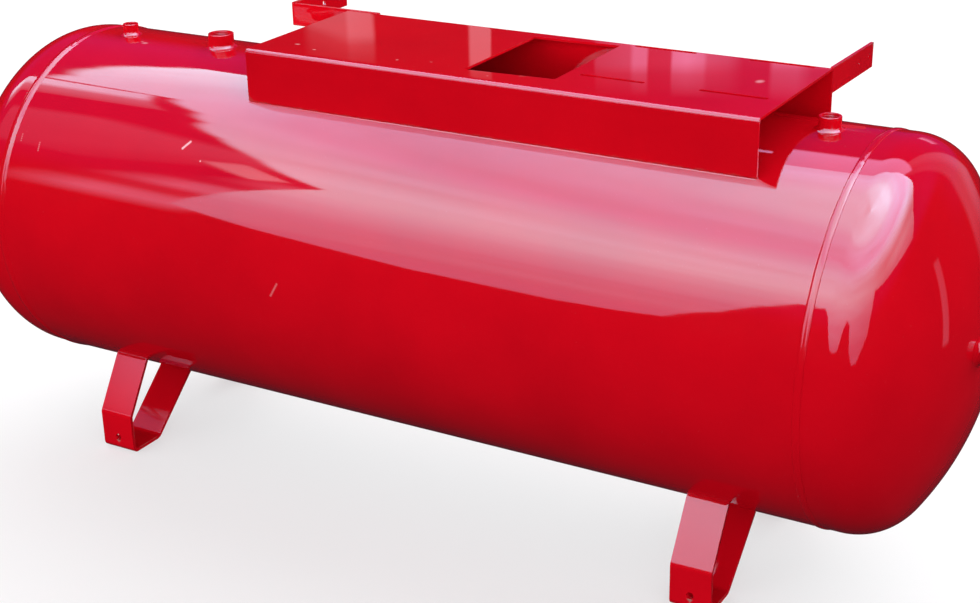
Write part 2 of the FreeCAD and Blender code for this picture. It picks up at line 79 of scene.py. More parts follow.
# Girth beads: node, side, width and rise as shares of the usual bead, and fullness of the cap.
# Each bead has one small lump where its run started and ended.
BEADS = (("girth_weld_right", 1, 1.0, 0.75, 0.45), ("girth_weld_left", -1, 1.45, 1.0, 1.5))
BEAD_TURNS, BEAD_RIPPLES, BEAD_RIPPLE = 1256, 390, 0.035 * MM
BEAD_TOP, BEAD_ROOT = 2.15 * MM, 0.8 * MM
LUMP_TURN, LUMP_SPREAD, LUMP_RISE = math.radians(107), 0.018, 0.6 * MM

# Sockets: node, bore and thread pitch
SOCKETS = (
    ("top_socket_small", 18.6 * MM, 1.814 * MM),
    ("top_socket_large", 30.3 * MM, 2.309 * MM),
    ("top_socket_right", 24.1 * MM, 1.814 * MM),
    ("head_socket_right", 24.1 * MM, 1.814 * MM),
    ("head_socket_left", 24.1 * MM, 1.814 * MM),
    ("drain_socket", 18.6 * MM, 1.814 * MM),
)
SOCKET_ROUNDING, LIP_WIDTH, LIP_RADIUS = 1.3 * MM, 1.5 * MM, 0.5 * MM
THREAD_START, THREAD_DEPTH, ROWS_IN_PITCH = 2.2 * MM, 0.5 * MM, 7
SOCKET_SIDE_ROWS, PAINTED_THREAD_ROWS = 8, 70

# Opening, from the platform's right end, with its margins at front and rear; slots, from the right and rear
OPENING_RIGHT, OPENING_LEFT, OPENING_CORNER = 347 * MM, 499 * MM, 3 * MM
OPENING_FRONT, OPENING_REAR = (46 * MM, 57 * MM), (26 * MM, 20 * MM)
SLOT_LENGTH, SLOT_WIDTH = 107 * MM, 9 * MM
SLOTS_FROM_RIGHT, SLOTS_FROM_REAR = (78 * MM, 272 * MM), (12 * MM, 203 * MM)
TOP_CUT_LOW, TOP_CUT_HIGH = 740 * MM, 780 * MM

# Guard brackets: bar height, bend, droop of the straight one, and holes from each one's free end
BRACKET_HEIGHT, BRACKET_BEND, BRACKET_DROOP = 40 * MM, 8 * MM, math.radians(1.2)
BRACKET_HOLE = 4.5 * MM
LEFT_HOLES, RIGHT_HOLES = (22 * MM, 72 * MM), (15 * MM, 65 * MM)
BRACKET_LEG, PLATFORM_FOLD = 4 * MM, 7 * MM

# Feet: node and side, seats off the axis, height of the upright, length of the sole, bends and hole
FEET = (("foot_front_left", -1), ("foot_front_right", -1), ("foot_rear_left", 1), ("foot_rear_right", 1))
OUTER_SEAT, INNER_SEAT = -165 * MM, -22 * MM
FOOT_UPRIGHT, FOOT_SOLE = 72 * MM, 72 * MM
HEEL_BEND, TOE_BEND, KNEE_BEND = 20 * MM, 12 * MM, 16 * MM
FOOT_HOLE, FOOT_HOLE_HEIGHT = 6 * MM, 26 * MM
FOOT_LEG = 3.4 * MM

# Socket fillets: steps round, pitch of the ripples and hollowness of the section
FILLET_TURNS, FILLET_PITCH, FILLET_HOLLOW = 220, 3.2 * MM, 1.35

# Straight welds: step along, pitch of the ripples, length of the round ends and fullness of the section
WELD_STEP, WELD_PITCH, FOOT_WELD_PITCH, WELD_END, WELD_FULLNESS = 0.6 * MM, 3 * MM, 3.6 * MM, 3 * MM, 1.7

# Depth of the straight welds' hidden roots in the plates, and reach of a platform weld as a share of its box
WELD_SINK = 0.8 * MM
PLATFORM_WELD_SHARE = 0.33

# Cutters for the sockets' holes: from where and how far up in the shell, and from where to where in the ends
TOP_HOLE_START, DRAIN_HOLE_START, HOLE_REACH = AXIS_Z + 0.5 * RADIUS, -0.1, 0.4
END_HOLE_START, END_HOLE_STOP = 0.8, 1.0

# Seeds, so that each soft wave and each weld is uneven in its own way
SHELL_SEED, HEAD_SEED, BEAD_SEED, BEAD_EDGE_SEED, FILLET_SEED = 11, 23, 31, 41, 50
SHEET_SEED, PLATFORM_WELD_SEED, BRACKET_WELD_SEEDS, FOOT_WELD_SEED = 71, 80, (91, 92, 93), 100


# Sizes, colours and light levels that a user may change


class TankSizes(bpy.types.PropertyGroup):
    """Sizes of the vessel's wall, ends, bends and welds."""

    wall: bpy.props.FloatProperty(
        name="Wall", description="Thickness of the vessel's plate", default=5 * MM, unit="LENGTH")
    knuckle: bpy.props.FloatProperty(
        name="Knuckle radius", description="Radius at the rim of a dished end", default=95 * MM, unit="LENGTH")
    crown: bpy.props.FloatProperty(
        name="Crown radius", description="Radius of the middle of a dished end", default=480 * MM, unit="LENGTH")
    dent: bpy.props.FloatProperty(
        name="Roll marks", description="Height of the soft waves left by rolling", default=0.06 * MM, unit="LENGTH")
    bead_height: bpy.props.FloatProperty(
        name="Girth bead", description="Height of the girth welds", default=2.0 * MM, unit="LENGTH")
    socket_leg: bpy.props.FloatProperty(
        name="Socket fillet", description="Reach of the fillet welds round the sockets", default=7 * MM,
        unit="LENGTH")
    sheet: bpy.props.FloatProperty(
        name="Platform sheet", description="Thickness of the folded platform", default=4 * MM, unit="LENGTH")
    sheet_bend: bpy.props.FloatProperty(
        name="Platform bend", description="Outer radius of the platform's folds", default=7 * MM, unit="LENGTH")
    bar: bpy.props.FloatProperty(
        name="Bracket bar", description="Thickness of the guard brackets", default=5 * MM, unit="LENGTH")
    foot_bar: bpy.props.FloatProperty(
        name="Foot bar", description="Thickness of the feet", default=6 * MM, unit="LENGTH")
    edge: bpy.props.FloatProperty(
        name="Edge rounding", description="Rounding of cut plate edges under the paint", default=0.8 * MM,
        unit="LENGTH")


class TankFinish(bpy.types.PropertyGroup):
    """Colours and gloss of the paint."""

    red: bpy.props.FloatVectorProperty(
        name="Enamel", description="The enamel's colour", default=(0.575, 0.0016, 0.0085), subtype="COLOR",
        size=3, min=0, max=1)
    deep_red: bpy.props.FloatVectorProperty(
        name="Thick enamel", description="The enamel where it is thicker", default=(0.50, 0.0012, 0.0075),
        subtype="COLOR", size=3, min=0, max=1)
    bare: bpy.props.FloatVectorProperty(
        name="Worn edge", description="Primer and steel where the enamel has worn through",
        default=(0.30, 0.16, 0.15), subtype="COLOR", size=3, min=0, max=1)
    fleck: bpy.props.FloatVectorProperty(
        name="Fleck", description="Dust flecks and chips in the enamel", default=(0.95, 0.55, 0.60),
        subtype="COLOR", size=3, min=0, max=1)
    inside: bpy.props.FloatVectorProperty(
        name="Inside", description="The unpainted inside of the vessel", default=(0.055, 0.030, 0.026),
        subtype="COLOR", size=3, min=0, max=1)
    gloss: bpy.props.FloatProperty(
        name="Roughness", description="Roughness of the enamel", default=0.02, min=0, max=1, subtype="FACTOR")


class TankStudio(bpy.types.PropertyGroup):
    """The camera and the studio."""

    eye: bpy.props.FloatVectorProperty(
        name="Camera", description="Place of the camera", default=(1.431025, -2.331112, 1.453952),
        subtype="XYZ", unit="LENGTH", size=3)
    yaw: bpy.props.FloatProperty(
        name="Yaw", description="Turn of the camera to the left of +Y", default=0.530191, subtype="ANGLE")
    pitch: bpy.props.FloatProperty(
        name="Pitch", description="How far the camera looks down", default=0.395005, subtype="ANGLE")
    roll: bpy.props.FloatProperty(
        name="Roll", description="Roll of the camera", default=-0.020475, subtype="ANGLE")
    lens: bpy.props.FloatProperty(
        name="Lens", description="Focal length on a 36 mm sensor", default=63.7220, unit="CAMERA")
    floor: bpy.props.FloatVectorProperty(
        name="Floor", description="Colour of the studio floor", default=(0.92, 0.92, 0.93), subtype="COLOR",
        size=3, min=0, max=1)
    backdrop: bpy.props.FloatVectorProperty(
        name="Backdrop", description="Colour behind the floor", default=(0.97, 0.97, 0.98), subtype="COLOR",
        size=3, min=0, max=1)
    softbox: bpy.props.FloatProperty(
        name="Reflected softbox", description="Brightness of the softbox that the enamel reflects", default=12.5)
    fill: bpy.props.FloatProperty(
        name="Soft light", description="Brightness of the light that falls from the whole upper half",
        default=0.17)
    wall: bpy.props.FloatProperty(
        name="Wall light", description="Brightness added low down on all sides", default=3.57)
    key: bpy.props.FloatProperty(
        name="Front light", description="Brightness added low down in front", default=4.24)
    back: bpy.props.FloatProperty(
        name="Back light", description="Brightness added behind, at all heights", default=2.99)


# Grids and meshes


def grid_quads(rows, columns, close_rows=False, close_columns=False):
    """Corner numbers of the quads between neighbouring rows and columns; either way may close on itself."""
    row = np.arange(rows if close_rows else rows - 1)[:, None]
    column = np.arange(columns if close_columns else columns - 1)[None, :]
    below, beside = (row + 1) % rows, (column + 1) % columns
    corners = [row * columns + column, row * columns + beside, below * columns + beside, below * columns + column]
    return np.stack(corners, -1).reshape(-1, 4)


def soft_waves(points, wavelength, height, seed):
    """A sum of twelve cosines across space, with seeded directions, pitches and phases."""
    draw = np.random.default_rng(seed)
    total = np.zeros(points.shape[:-1])
    for _ in range(12):
        direction = draw.normal(size=3)
        direction *= TURN * draw.uniform(0.6, 1.5) / (wavelength * np.linalg.norm(direction))
        total += np.cos(points @ direction + draw.uniform(0, TURN))
    return height * total / math.sqrt(12)


def outward_mesh(name, points, faces):
    """A mesh of these points and faces, with its faces turned outwards."""
    mesh = bpy.data.meshes.new(name)
    mesh.from_pydata(np.reshape(points, (-1, 3)).tolist(), [], faces)
    work = bmesh.new()
    work.from_mesh(mesh)
    bmesh.ops.recalc_face_normals(work, faces=work.faces)
    work.to_mesh(mesh)
    work.free()
    if not mesh.polygons:
        raise RuntimeError("no faces were made for " + name)
    return mesh


def new_object(name, points, faces, materials, face_finish=None):
    """An object at the origin with its place in its mesh. face_finish numbers each face's material."""
    mesh = outward_mesh(name, points, faces)
    for material in materials:
        mesh.materials.append(material)
    if face_finish is not None:
        mesh.polygons.foreach_set("material_index", np.asarray(face_finish, np.int32))
    piece = bpy.data.objects.new(name, mesh)
    bpy.context.scene.collection.objects.link(piece)
    return piece


def closed_grid(name, points, materials, row_finish=None):
    """An object from rows of points that close on themselves both ways. row_finish numbers each row's material."""
    rows, columns = points.shape[:2]
    finish = None if row_finish is None else np.repeat(row_finish, columns)
    return new_object(name, points, grid_quads(rows, columns, True, True).tolist(), materials, finish)


def settle(piece):
    """Applies a piece's modifiers to its mesh."""
    graph = bpy.context.evaluated_depsgraph_get()
    finished = bpy.data.meshes.new_from_object(
        piece.evaluated_get(graph), preserve_all_data_layers=True, depsgraph=graph)
    unfinished = piece.data
    piece.modifiers.clear()
    piece.data = finished
    bpy.data.meshes.remove(unfinished)
    finished.name = piece.name
    if not finished.polygons:
        raise RuntimeError("nothing was left of " + piece.name)


def smooth(piece, sharp_degrees=38.0):
    """Smooth shading, with an edge kept sharp where its faces meet at more than an angle."""
    piece.data.shade_smooth()
    piece.data.set_sharp_from_angle(angle=math.radians(sharp_degrees))


def cut(piece, cutters):
    """Takes closed cutter objects away from a piece."""
    for cutter in cutters:
        change = piece.modifiers.new("cut", "BOOLEAN")
        change.operation = "DIFFERENCE"
        change.solver = "EXACT"
        change.object = cutter
    settle(piece)
    for cutter in cutters:
        mesh = cutter.data
        bpy.data.objects.remove(cutter)
        bpy.data.meshes.remove(mesh)


def round_edges(piece, width, segments=3):
    """Rounds a piece's sharp edges, and keeps its flat faces flat in their shading."""
    change = piece.modifiers.new("edges", "BEVEL")
    change.width = width
    change.segments = segments
    change.limit_method = "ANGLE"
    change.angle_limit = math.radians(50)
    change.use_clamp_overlap = True
    settle(piece)
    smooth(piece, 50)
    change = piece.modifiers.new("normals", "WEIGHTED_NORMAL")
    change.mode = "FACE_AREA"
    change.keep_sharp = True
    settle(piece)


def take_place(piece, *nodes):
    """The piece stands for these CAD nodes, which are hidden, and rides on the tank's body."""
    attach(piece, BODY)
    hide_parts(*nodes)


def prism(name, outline, low, high, axis):
    """A closed prism: an outline of points on the two axes after `axis`, carried from low to high along it."""
    outline = np.asarray(outline, float)
    count = len(outline)
    points = np.zeros((2, count, 3))
    points[..., (axis + 1) % 3] = outline[:, 0]
    points[..., (axis + 2) % 3] = outline[:, 1]
    points[0, :, axis] = low
    points[1, :, axis] = high
    sides = grid_quads(2, count, close_columns=True).tolist()
    ends = [list(range(count)), list(range(2 * count - 1, count - 1, -1))]
    return new_object(name, points, sides + ends, [])


def circle(centre, radius, count=64):
    """Points of a circle."""
    angle = np.linspace(0, TURN, count, endpoint=False)
    return np.stack([centre[0] + radius * np.cos(angle), centre[1] + radius * np.sin(angle)], -1)


def stadium(centre, length, width, count=12):
    """Points of a slot outline: two half circles joined by straight sides along the first axis."""
    angle = np.linspace(-math.pi / 2, math.pi / 2, count)
    cap = np.stack([np.cos(angle), np.sin(angle)], -1) * width / 2
    shift = np.array([(length - width) / 2, 0.0])
    return np.concatenate([cap + shift, -cap - shift]) + np.asarray(centre)


def rounded_outline(corners, radius, count=5):
    """A closed polygon whose corners are rounded by short arcs, as fractions of a quadratic curve."""
    corners = np.asarray(corners, float)
    before, after = np.roll(corners, 1, 0) - corners, np.roll(corners, -1, 0) - corners
    before /= np.linalg.norm(before, axis=1)[:, None]
    after /= np.linalg.norm(after, axis=1)[:, None]
    share = np.linspace(0, 1, count)[None, :, None]
    start = (corners + before * radius)[:, None]
    end = (corners + after * radius)[:, None]
    curve = (1 - share) ** 2 * start + 2 * share * (1 - share) * corners[:, None] + share ** 2 * end
    return curve.reshape(-1, 2)


# Paint and steel


def node(tree, kind, inputs=(), **settings):
    """A shader node with its settings, and its inputs set to values or linked to other nodes' outputs."""
    made = tree.nodes.new(kind)
    for name, value in settings.items():
        setattr(made, name, value)
    for name, value in dict(inputs).items():
        if isinstance(value, bpy.types.NodeSocket):
            tree.links.new(value, made.inputs[name])
        else:
            made.inputs[name].default_value = value
    return made


def maths(tree, operation, first, second=0.0):
    """The output of a math node on two values."""
    return node(tree, "ShaderNodeMath", {0: first, 1: second}, operation=operation).outputs[0]


def times(tree, first, second):
    """The product of two values."""
    return maths(tree, "MULTIPLY", first, second)


def plus(tree, first, second):
    """The sum of two values."""
    return maths(tree, "ADD", first, second)


def minus(tree, first, second):
    """The first value less the second."""
    return maths(tree, "SUBTRACT", first, second)


def noise(tree, place, scale, detail, roughness=0.5):
    """A noise pattern's level at a place."""
    inputs = {"Vector": place, "Scale": scale, "Detail": detail, "Roughness": roughness}
    return node(tree, "ShaderNodeTexNoise", inputs).outputs["Fac"]


def bumped(tree, height, distance, normal=None):
    """The normal of a surface raised by a pattern's height times a distance."""
    inputs = {"Height": height, "Strength": 1.0, "Distance": distance}
    if normal is not None:
        inputs["Normal"] = normal
    return node(tree, "ShaderNodeBump", inputs).outputs["Normal"]


def ramp(tree, factor, stops, interpolation="LINEAR"):
    """The colour output of a colour ramp with (place, colour) stops."""
    made = node(tree, "ShaderNodeValToRGB", {"Fac": factor})
    band = made.color_ramp
    band.interpolation = interpolation
    while len(band.elements) < len(stops):
        band.elements.new(0.5)
    for element, (place, colour) in zip(band.elements, stops):
        element.position = place
        element.color = (*colour, 1.0)
    return made.outputs["Color"]


def broken_line(tree, value, stops, stretch=10):
    """A value's level on a broken line of (place, level) stops, by a ramp for each stretch of stops.

    A ramp is read in 256 steps, so a short stretch keeps its edges crisp.
    """
    total = None
    for first in range(0, len(stops) - 1, stretch):
        part = stops[first:first + stretch + 1]
        low, high = part[0][0], part[-1][0]
        share = node(tree, "ShaderNodeMapRange", {"Value": value, "From Min": low, "From Max": high})
        levels = [((stop - low) / (high - low), grey(height)) for stop, height in part]
        level = ramp(tree, share.outputs["Result"], levels)
        total = level if total is None else colour_mix(tree, maths(tree, "GREATER_THAN", value, low), total, level)
    return total


def grey(value):
    """A grey colour."""
    return (value, value, value)


def colour_mix(tree, factor, first, second, blend="MIX"):
    """The colour output of a mix of two colours."""
    made = node(tree, "ShaderNodeMix", data_type="RGBA", blend_type=blend)
    for place, value in ((0, factor), (6, first), (7, second)):
        if isinstance(value, bpy.types.NodeSocket):
            tree.links.new(value, made.inputs[place])
        else:
            made.inputs[place].default_value = value if place == 0 else (*value, 1.0)
    return made.outputs[2]


def new_paint(name):
    """A new material with its tree, its shader and the Object coordinates of its pieces."""
    material = bpy.data.materials.new(name)
    material.use_nodes = True
    tree = material.node_tree
    place = node(tree, "ShaderNodeTexCoord").outputs["Object"]
    return material, tree, tree.nodes["Principled BSDF"], place


def enamel(name, peel=1.0, streak=0.0, wear=0.0, dull=0.0, chips=()):
    """Glossy red enamel: cloudy depth of colour, orange peel, brush-like streaks along X, worn edges, chips.

    chips are (centre, half sizes, strength) of pale marks, as soft-edged ellipsoids in the tank's own axes.
    """
    finish = bpy.context.scene.tank_finish
    material, tree, shader, place = new_paint(name)

    cloud = ramp(tree, noise(tree, place, 5.0, 4.0, 0.55), [(0.32, grey(0.0)), (0.70, grey(1.0))])
    colour = colour_mix(tree, cloud, finish.red, finish.deep_red)
    speckle = ramp(tree, noise(tree, place, 420.0, 2.0), [(0.74, grey(0.0)), (0.80, grey(0.15))])
    colour = colour_mix(tree, speckle, colour, finish.fleck)
    if wear > 0:
        point = node(tree, "ShaderNodeNewGeometry").outputs["Pointiness"]
        edge = plus(tree, point, times(tree, noise(tree, place, 55.0, 6.0, 0.7), 0.11))
        worn = ramp(tree, edge, [(0.655, grey(0.0)), (0.70, grey(wear))])
        colour = colour_mix(tree, worn, colour, finish.bare)
    for centre, half, strength in chips:
        away = node(tree, "ShaderNodeVectorMath", {0: place, 1: centre}, operation="SUBTRACT").outputs[0]
        away = node(tree, "ShaderNodeVectorMath", {0: away, 1: tuple(1 / size for size in half)},
                    operation="MULTIPLY").outputs[0]
        away = node(tree, "ShaderNodeVectorMath", {0: away}, operation="LENGTH").outputs["Value"]
        mark = ramp(tree, away, [(0.35, grey(strength)), (1.0, grey(0.0))])
        colour = colour_mix(tree, mark, colour, finish.fleck)
    tree.links.new(colour, shader.inputs["Base Color"])

    smoothest = finish.gloss + dull
    rough = ramp(tree, noise(tree, place, 9.0, 5.0, 0.6), [(0.35, grey(smoothest)), (0.75, grey(smoothest + 0.02))])
    tree.links.new(rough, shader.inputs["Roughness"])

    normal = bumped(tree, noise(tree, place, 170.0, 2.0), peel * 0.006 * MM)
    if streak > 0:
        drawn = node(tree, "ShaderNodeMapping", {"Vector": place, "Scale": (1.1, 62.0, 62.0)})
        normal = bumped(tree, noise(tree, drawn.outputs["Vector"], 1.0, 3.0), streak * MM, normal)
    tree.links.new(normal, shader.inputs["Normal"])
    shader.inputs["IOR"].default_value = 1.5
    return material


def scratch(start, end, half, strength, count=6):
    """A scratch as a row of overlapping round chips from start to end."""
    places = np.linspace(start, end, count)
    return tuple((tuple(place), (half,) * 3, strength) for place in places.tolist())


def bare_inside(name):
    """Unpainted, lightly rusted plate inside the vessel."""
    inside = bpy.context.scene.tank_finish.inside
    material, tree, shader, place = new_paint(name)
    bloom = noise(tree, place, 25.0, 6.0, 0.65)
    darker = tuple(0.5 * part for part in inside)
    tree.links.new(ramp(tree, bloom, [(0.3, darker), (0.7, tuple(inside))]), shader.inputs["Base Color"])
    tree.links.new(ramp(tree, bloom, [(0.3, grey(0.55)), (0.7, grey(0.8))]), shader.inputs["Roughness"])
    tree.links.new(bumped(tree, bloom, 0.2 * MM), shader.inputs["Normal"])
    shader.inputs["Metallic"].default_value = 0.4
    return material


def shared_material(name, maker=enamel, **settings):
    """The material of that name, made the first time it is asked for."""
    return bpy.data.materials.get(name) or maker(name, **settings)


def inside_plate():
    """The bare plate inside the vessel and its sockets."""
    return shared_material("bare_inside", bare_inside)


def fillet_paint():
    """The enamel over the fillet welds."""
    return shared_material("fillet_enamel", peel=1.4)


# The vessel


def turned(section, turns):
    """Each section point (along, radius) carried round the vessel's axis: rows are points, columns are turns."""
    angle = np.linspace(0, TURN, turns, endpoint=False)
    along = np.repeat(section[:, :1], turns, 1)
    return np.stack(
        [along, AXIS_Y + section[:, 1:] * np.cos(angle), AXIS_Z + section[:, 1:] * np.sin(angle)], -1)


def moved_out(points, distance):
    """Points moved away from the vessel's axis by a distance each."""
    spoke = points[..., 1:] - (AXIS_Y, AXIS_Z)
    length = np.linalg.norm(spoke, axis=-1, keepdims=True)
    shifted = points.copy()
    shifted[..., 1:] += spoke / np.maximum(length, 1e-9) * distance[..., None]
    return shifted


def dished_line(sizes, inset, counts):
    """(along, radius) from the pole to the rim: crown arc, knuckle arc, then the straight flange."""
    step = sizes.crown - sizes.knuckle
    knuckle_height = RADIUS - sizes.knuckle
    turn = math.asin(knuckle_height / step)
    crown_centre = HEAD_POLE - sizes.crown
    knuckle_centre = crown_centre + math.sqrt(step ** 2 - knuckle_height ** 2)
    crown_turns = np.linspace(0, turn, counts[0], endpoint=False)
    knuckle_turns = np.linspace(turn, math.pi / 2, counts[1], endpoint=False)
    crown = np.stack([crown_centre + (sizes.crown - inset) * np.cos(crown_turns),
                      (sizes.crown - inset) * np.sin(crown_turns)], -1)
    knuckle = np.stack([knuckle_centre + (sizes.knuckle - inset) * np.cos(knuckle_turns),
                        knuckle_height + (sizes.knuckle - inset) * np.sin(knuckle_turns)], -1)
    straight = np.stack([np.linspace(knuckle_centre, HALF_LENGTH, counts[2]),
                         np.full(counts[2], RADIUS - inset)], -1)
    return np.concatenate([crown, knuckle, straight])


def socket_radius(name):
    """Outer radius of a socket, from its node's box across its own axis."""
    low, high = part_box(name)
    return (high.z - low.z) / 2 if name.startswith("head") else (high.x - low.x) / 2


# Chips, a long faint scratch and rubbed places on the shell
SHELL_MARKS = (
    *scratch((-0.3628, -0.2488, 0.6078), (-0.3528, -0.2403, 0.6178), 3.0 * MM, 0.85),
    *scratch((-0.1373, -0.3183, 0.4359), (-0.1498, -0.3190, 0.4147), 2.6 * MM, 0.20, 8),
    *scratch((-0.7030, -0.2630, 0.5890), (-0.7022, -0.2700, 0.5800), 2.0 * MM, 0.22, 4),
    *scratch((-0.6600, -0.2680, 0.5810), (-0.6590, -0.2760, 0.5700), 2.2 * MM, 0.25, 5),
    ((-0.3200, -0.2590, 0.5950), (0.0020, 0.0020, 0.0020), 0.7),
    ((-0.5940, -0.0550, 0.7130), (0.0080, 0.0050, 0.0040), 0.35),
    ((-0.6040, -0.0500, 0.7135), (0.0040, 0.0030, 0.0040), 0.25),
)


class MakeShell(bpy.types.Operator):
    """The rolled shell: a closed double wall whose outer face carries soft roll marks, holed for its sockets."""

    bl_idname = "tank.make_shell"
    bl_label = "Shell"

    def execute(self, context):
        sizes = context.scene.tank_sizes
        outside, inside = SHELL_ROWS_OUTSIDE, SHELL_ROWS_INSIDE
        outer = np.stack([np.linspace(-HALF_LENGTH, HALF_LENGTH, outside), np.full(outside, RADIUS)], -1)
        inner = np.stack([np.linspace(HALF_LENGTH, -HALF_LENGTH, inside), np.full(inside, RADIUS - sizes.wall)], -1)
        points = turned(np.concatenate([outer, inner]), VESSEL_TURNS)
        fade = np.clip((HALF_LENGTH - abs(points[:outside, :, 0])) / WAVE_FADE, 0, 1)
        marks = soft_waves(points[:outside], 0.55, sizes.dent, SHELL_SEED) * fade
        points[:outside] = moved_out(points[:outside], marks)
        finish = np.zeros(outside + inside, int)
        finish[outside:-1] = 1
        paint = shared_material("shell_enamel", peel=0.35, streak=0.02, chips=SHELL_MARKS)
        shell = closed_grid("tank_shell", points, [paint, inside_plate()], finish)
        cutters = []
        for name in ("top_socket_small", "top_socket_large", "top_socket_right", "drain_socket"):
            low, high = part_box(name)
            bottom = TOP_HOLE_START if low.z > AXIS_Z else DRAIN_HOLE_START
            outline = circle(((low.x + high.x) / 2, AXIS_Y), socket_radius(name))
            cutters.append(prism("hole", outline, bottom, bottom + HOLE_REACH, 2))
        cut(shell, cutters)
        smooth(shell)
        take_place(shell, "shell")
        return {"FINISHED"}


class MakeHeads(bpy.types.Operator):
    """The dished ends: crown, knuckle and straight flange turned about the axis, outside and inside."""

    bl_idname = "tank.make_heads"
    bl_label = "Dished ends"

    def execute(self, context):
        sizes = context.scene.tank_sizes
        turns = VESSEL_TURNS
        outer = dished_line(sizes, 0.0, (46, 30, 6))
        inner = dished_line(sizes, sizes.wall, (16, 10, 3))[::-1]
        rows = len(outer) + len(inner) - 2
        for side, name in ((1, "head_right"), (-1, "head_left")):
            points = turned(np.concatenate([outer[1:], inner[:-1]]), turns)
            fade = np.clip((points[..., 0] - HALF_LENGTH) / WAVE_FADE, 0, 1)
            fade[len(outer) - 1:] = 0
            points = moved_out(points, soft_waves(points, 0.5, sizes.dent, HEAD_SEED + side) * fade)
            poles = [(HEAD_POLE, AXIS_Y, AXIS_Z), (HEAD_POLE - sizes.wall, AXIS_Y, AXIS_Z)]
            points = np.concatenate([points.reshape(-1, 3), poles])
            points[:, 0] *= side
            ring = np.arange(turns)
            fans = [np.stack([np.full(turns, rows * turns + end), start + ring, start + (ring + 1) % turns], -1)
                    for end, start in ((0, 0), (1, (rows - 1) * turns))]
            faces = grid_quads(rows, turns, close_columns=True).tolist() + fans[0].tolist() + fans[1].tolist()
            finish = np.zeros(rows - 1, int)
            finish[len(outer) - 1:] = 1
            finish = np.concatenate([np.repeat(finish, turns), np.zeros(turns, int), np.ones(turns, int)])
            paint = shared_material("head_enamel", peel=0.35)
            head = new_object("tank_" + name, points, faces, [paint, inside_plate()], finish)
            socket = "head_socket_" + name[5:]
            low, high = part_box(socket)
            outline = circle(((low.y + high.y) / 2, (low.z + high.z) / 2), socket_radius(socket))
            cut(head, [prism("hole", outline, side * END_HOLE_START, side * END_HOLE_STOP, 0)])
            smooth(head)
            take_place(head, name)
        return {"FINISHED"}


class MakeGirthBeads(bpy.types.Operator):
    """The girth welds: a low cap round the joint of shell and end, with a fine ripple and an uneven edge."""

    bl_idname = "tank.make_girth_beads"
    bl_label = "Girth welds"

    def execute(self, context):
        low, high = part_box("girth_weld_right")
        across = np.sin(np.linspace(-math.pi / 2, math.pi / 2, 17))[:, None]
        dome = 1 - across ** 2
        angle = np.linspace(0, TURN, BEAD_TURNS, endpoint=False)[None, :]
        paint = shared_material("bead_enamel", peel=0.5, dull=0.04)
        for name, side, width, rise, fullness in BEADS:
            half = (high.x - low.x) / 2 * width
            spoke = np.stack([np.full(angle.shape, side * 3.0), np.cos(angle), np.sin(angle)], -1)
            uneven = soft_waves(spoke, 0.35, 1.0, BEAD_SEED + side)
            edge = half * (0.90 + 0.035 * soft_waves(spoke, 0.12, 1.0, BEAD_EDGE_SEED + side))
            height = rise * context.scene.tank_sizes.bead_height * (1 + 0.10 * uneven)
            ripple = BEAD_RIPPLE * np.cos(angle * BEAD_RIPPLES + 5 * across ** 2 + uneven)
            lump = np.exp(-((angle - LUMP_TURN) / LUMP_SPREAD) ** 2)
            cap = height * dome ** fullness + ripple * dome + LUMP_RISE * lump * dome
            foot = np.array([[1.0], [-1.0]]) * edge + side * HALF_LENGTH
            along = np.concatenate([side * HALF_LENGTH + across * edge, foot])
            radius = RADIUS + np.concatenate([np.minimum(cap, BEAD_TOP) - 0.02 * MM,
                                              np.full((2, BEAD_TURNS), -BEAD_ROOT)])
            points = np.stack([along, AXIS_Y + radius * np.cos(angle), AXIS_Z + radius * np.sin(angle)], -1)
            bead = closed_grid(name.replace("weld", "bead"), points, [paint])
            smooth(bead)
            take_place(bead, name)
        return {"FINISHED"}


# Pipe sockets


class Seat:
    """Where a socket stands on the vessel: its centre on the surface, its axes, and the surface round it."""

    def __init__(self, name):
        low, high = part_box(name)
        centre = (low + high) / 2
        self.along = np.array([1.0, 0.0, 0.0])
        self.across = np.array([0.0, 1.0, 0.0])
        self.out = np.array([0.0, 0.0, 1.0])
        self.crown = 0.0
        if name.startswith("head"):
            side = 1.0 if centre.x > 0 else -1.0
            self.crown = bpy.context.scene.tank_sizes.crown
            self.offset = ((centre.y - AXIS_Y) * side, centre.z - AXIS_Z)
            reach = math.sqrt(self.crown ** 2 - self.offset[0] ** 2 - self.offset[1] ** 2)
            self.centre = np.array([side * (HEAD_POLE - self.crown + reach), centre.y, centre.z])
            self.along, self.across = np.array([0.0, side, 0.0]), np.array([0.0, 0.0, 1.0])
            self.out = np.array([side, 0.0, 0.0])
            self.top = max(side * low.x, side * high.x) - side * self.centre[0]
            self.bottom = min(side * low.x, side * high.x) - side * self.centre[0]
        elif centre.z > AXIS_Z:
            self.centre = np.array([centre.x, AXIS_Y, AXIS_Z + RADIUS])
            self.top, self.bottom = high.z - self.centre[2], low.z - self.centre[2]
        else:
            self.centre = np.array([centre.x, AXIS_Y, AXIS_Z - RADIUS])
            self.across, self.out = np.array([0.0, -1.0, 0.0]), np.array([0.0, 0.0, -1.0])
            self.top, self.bottom = self.centre[2] - low.z, self.centre[2] - high.z

    def surface(self, along, across):
        """Height of the vessel's surface over the seat's centre: a sphere on an end, a cylinder on the shell."""
        if self.crown:
            flat = (self.offset[0] + along) ** 2 + (self.offset[1] + across) ** 2
            start = self.offset[0] ** 2 + self.offset[1] ** 2
            return np.sqrt(self.crown ** 2 - flat) - math.sqrt(self.crown ** 2 - start)
        return np.sqrt(RADIUS ** 2 - across ** 2) - RADIUS

    def place(self, along, across, height):
        """Seat coordinates as points in the tank's axes."""
        return (self.centre + along[..., None] * self.along + across[..., None] * self.across
                + height[..., None] * self.out)


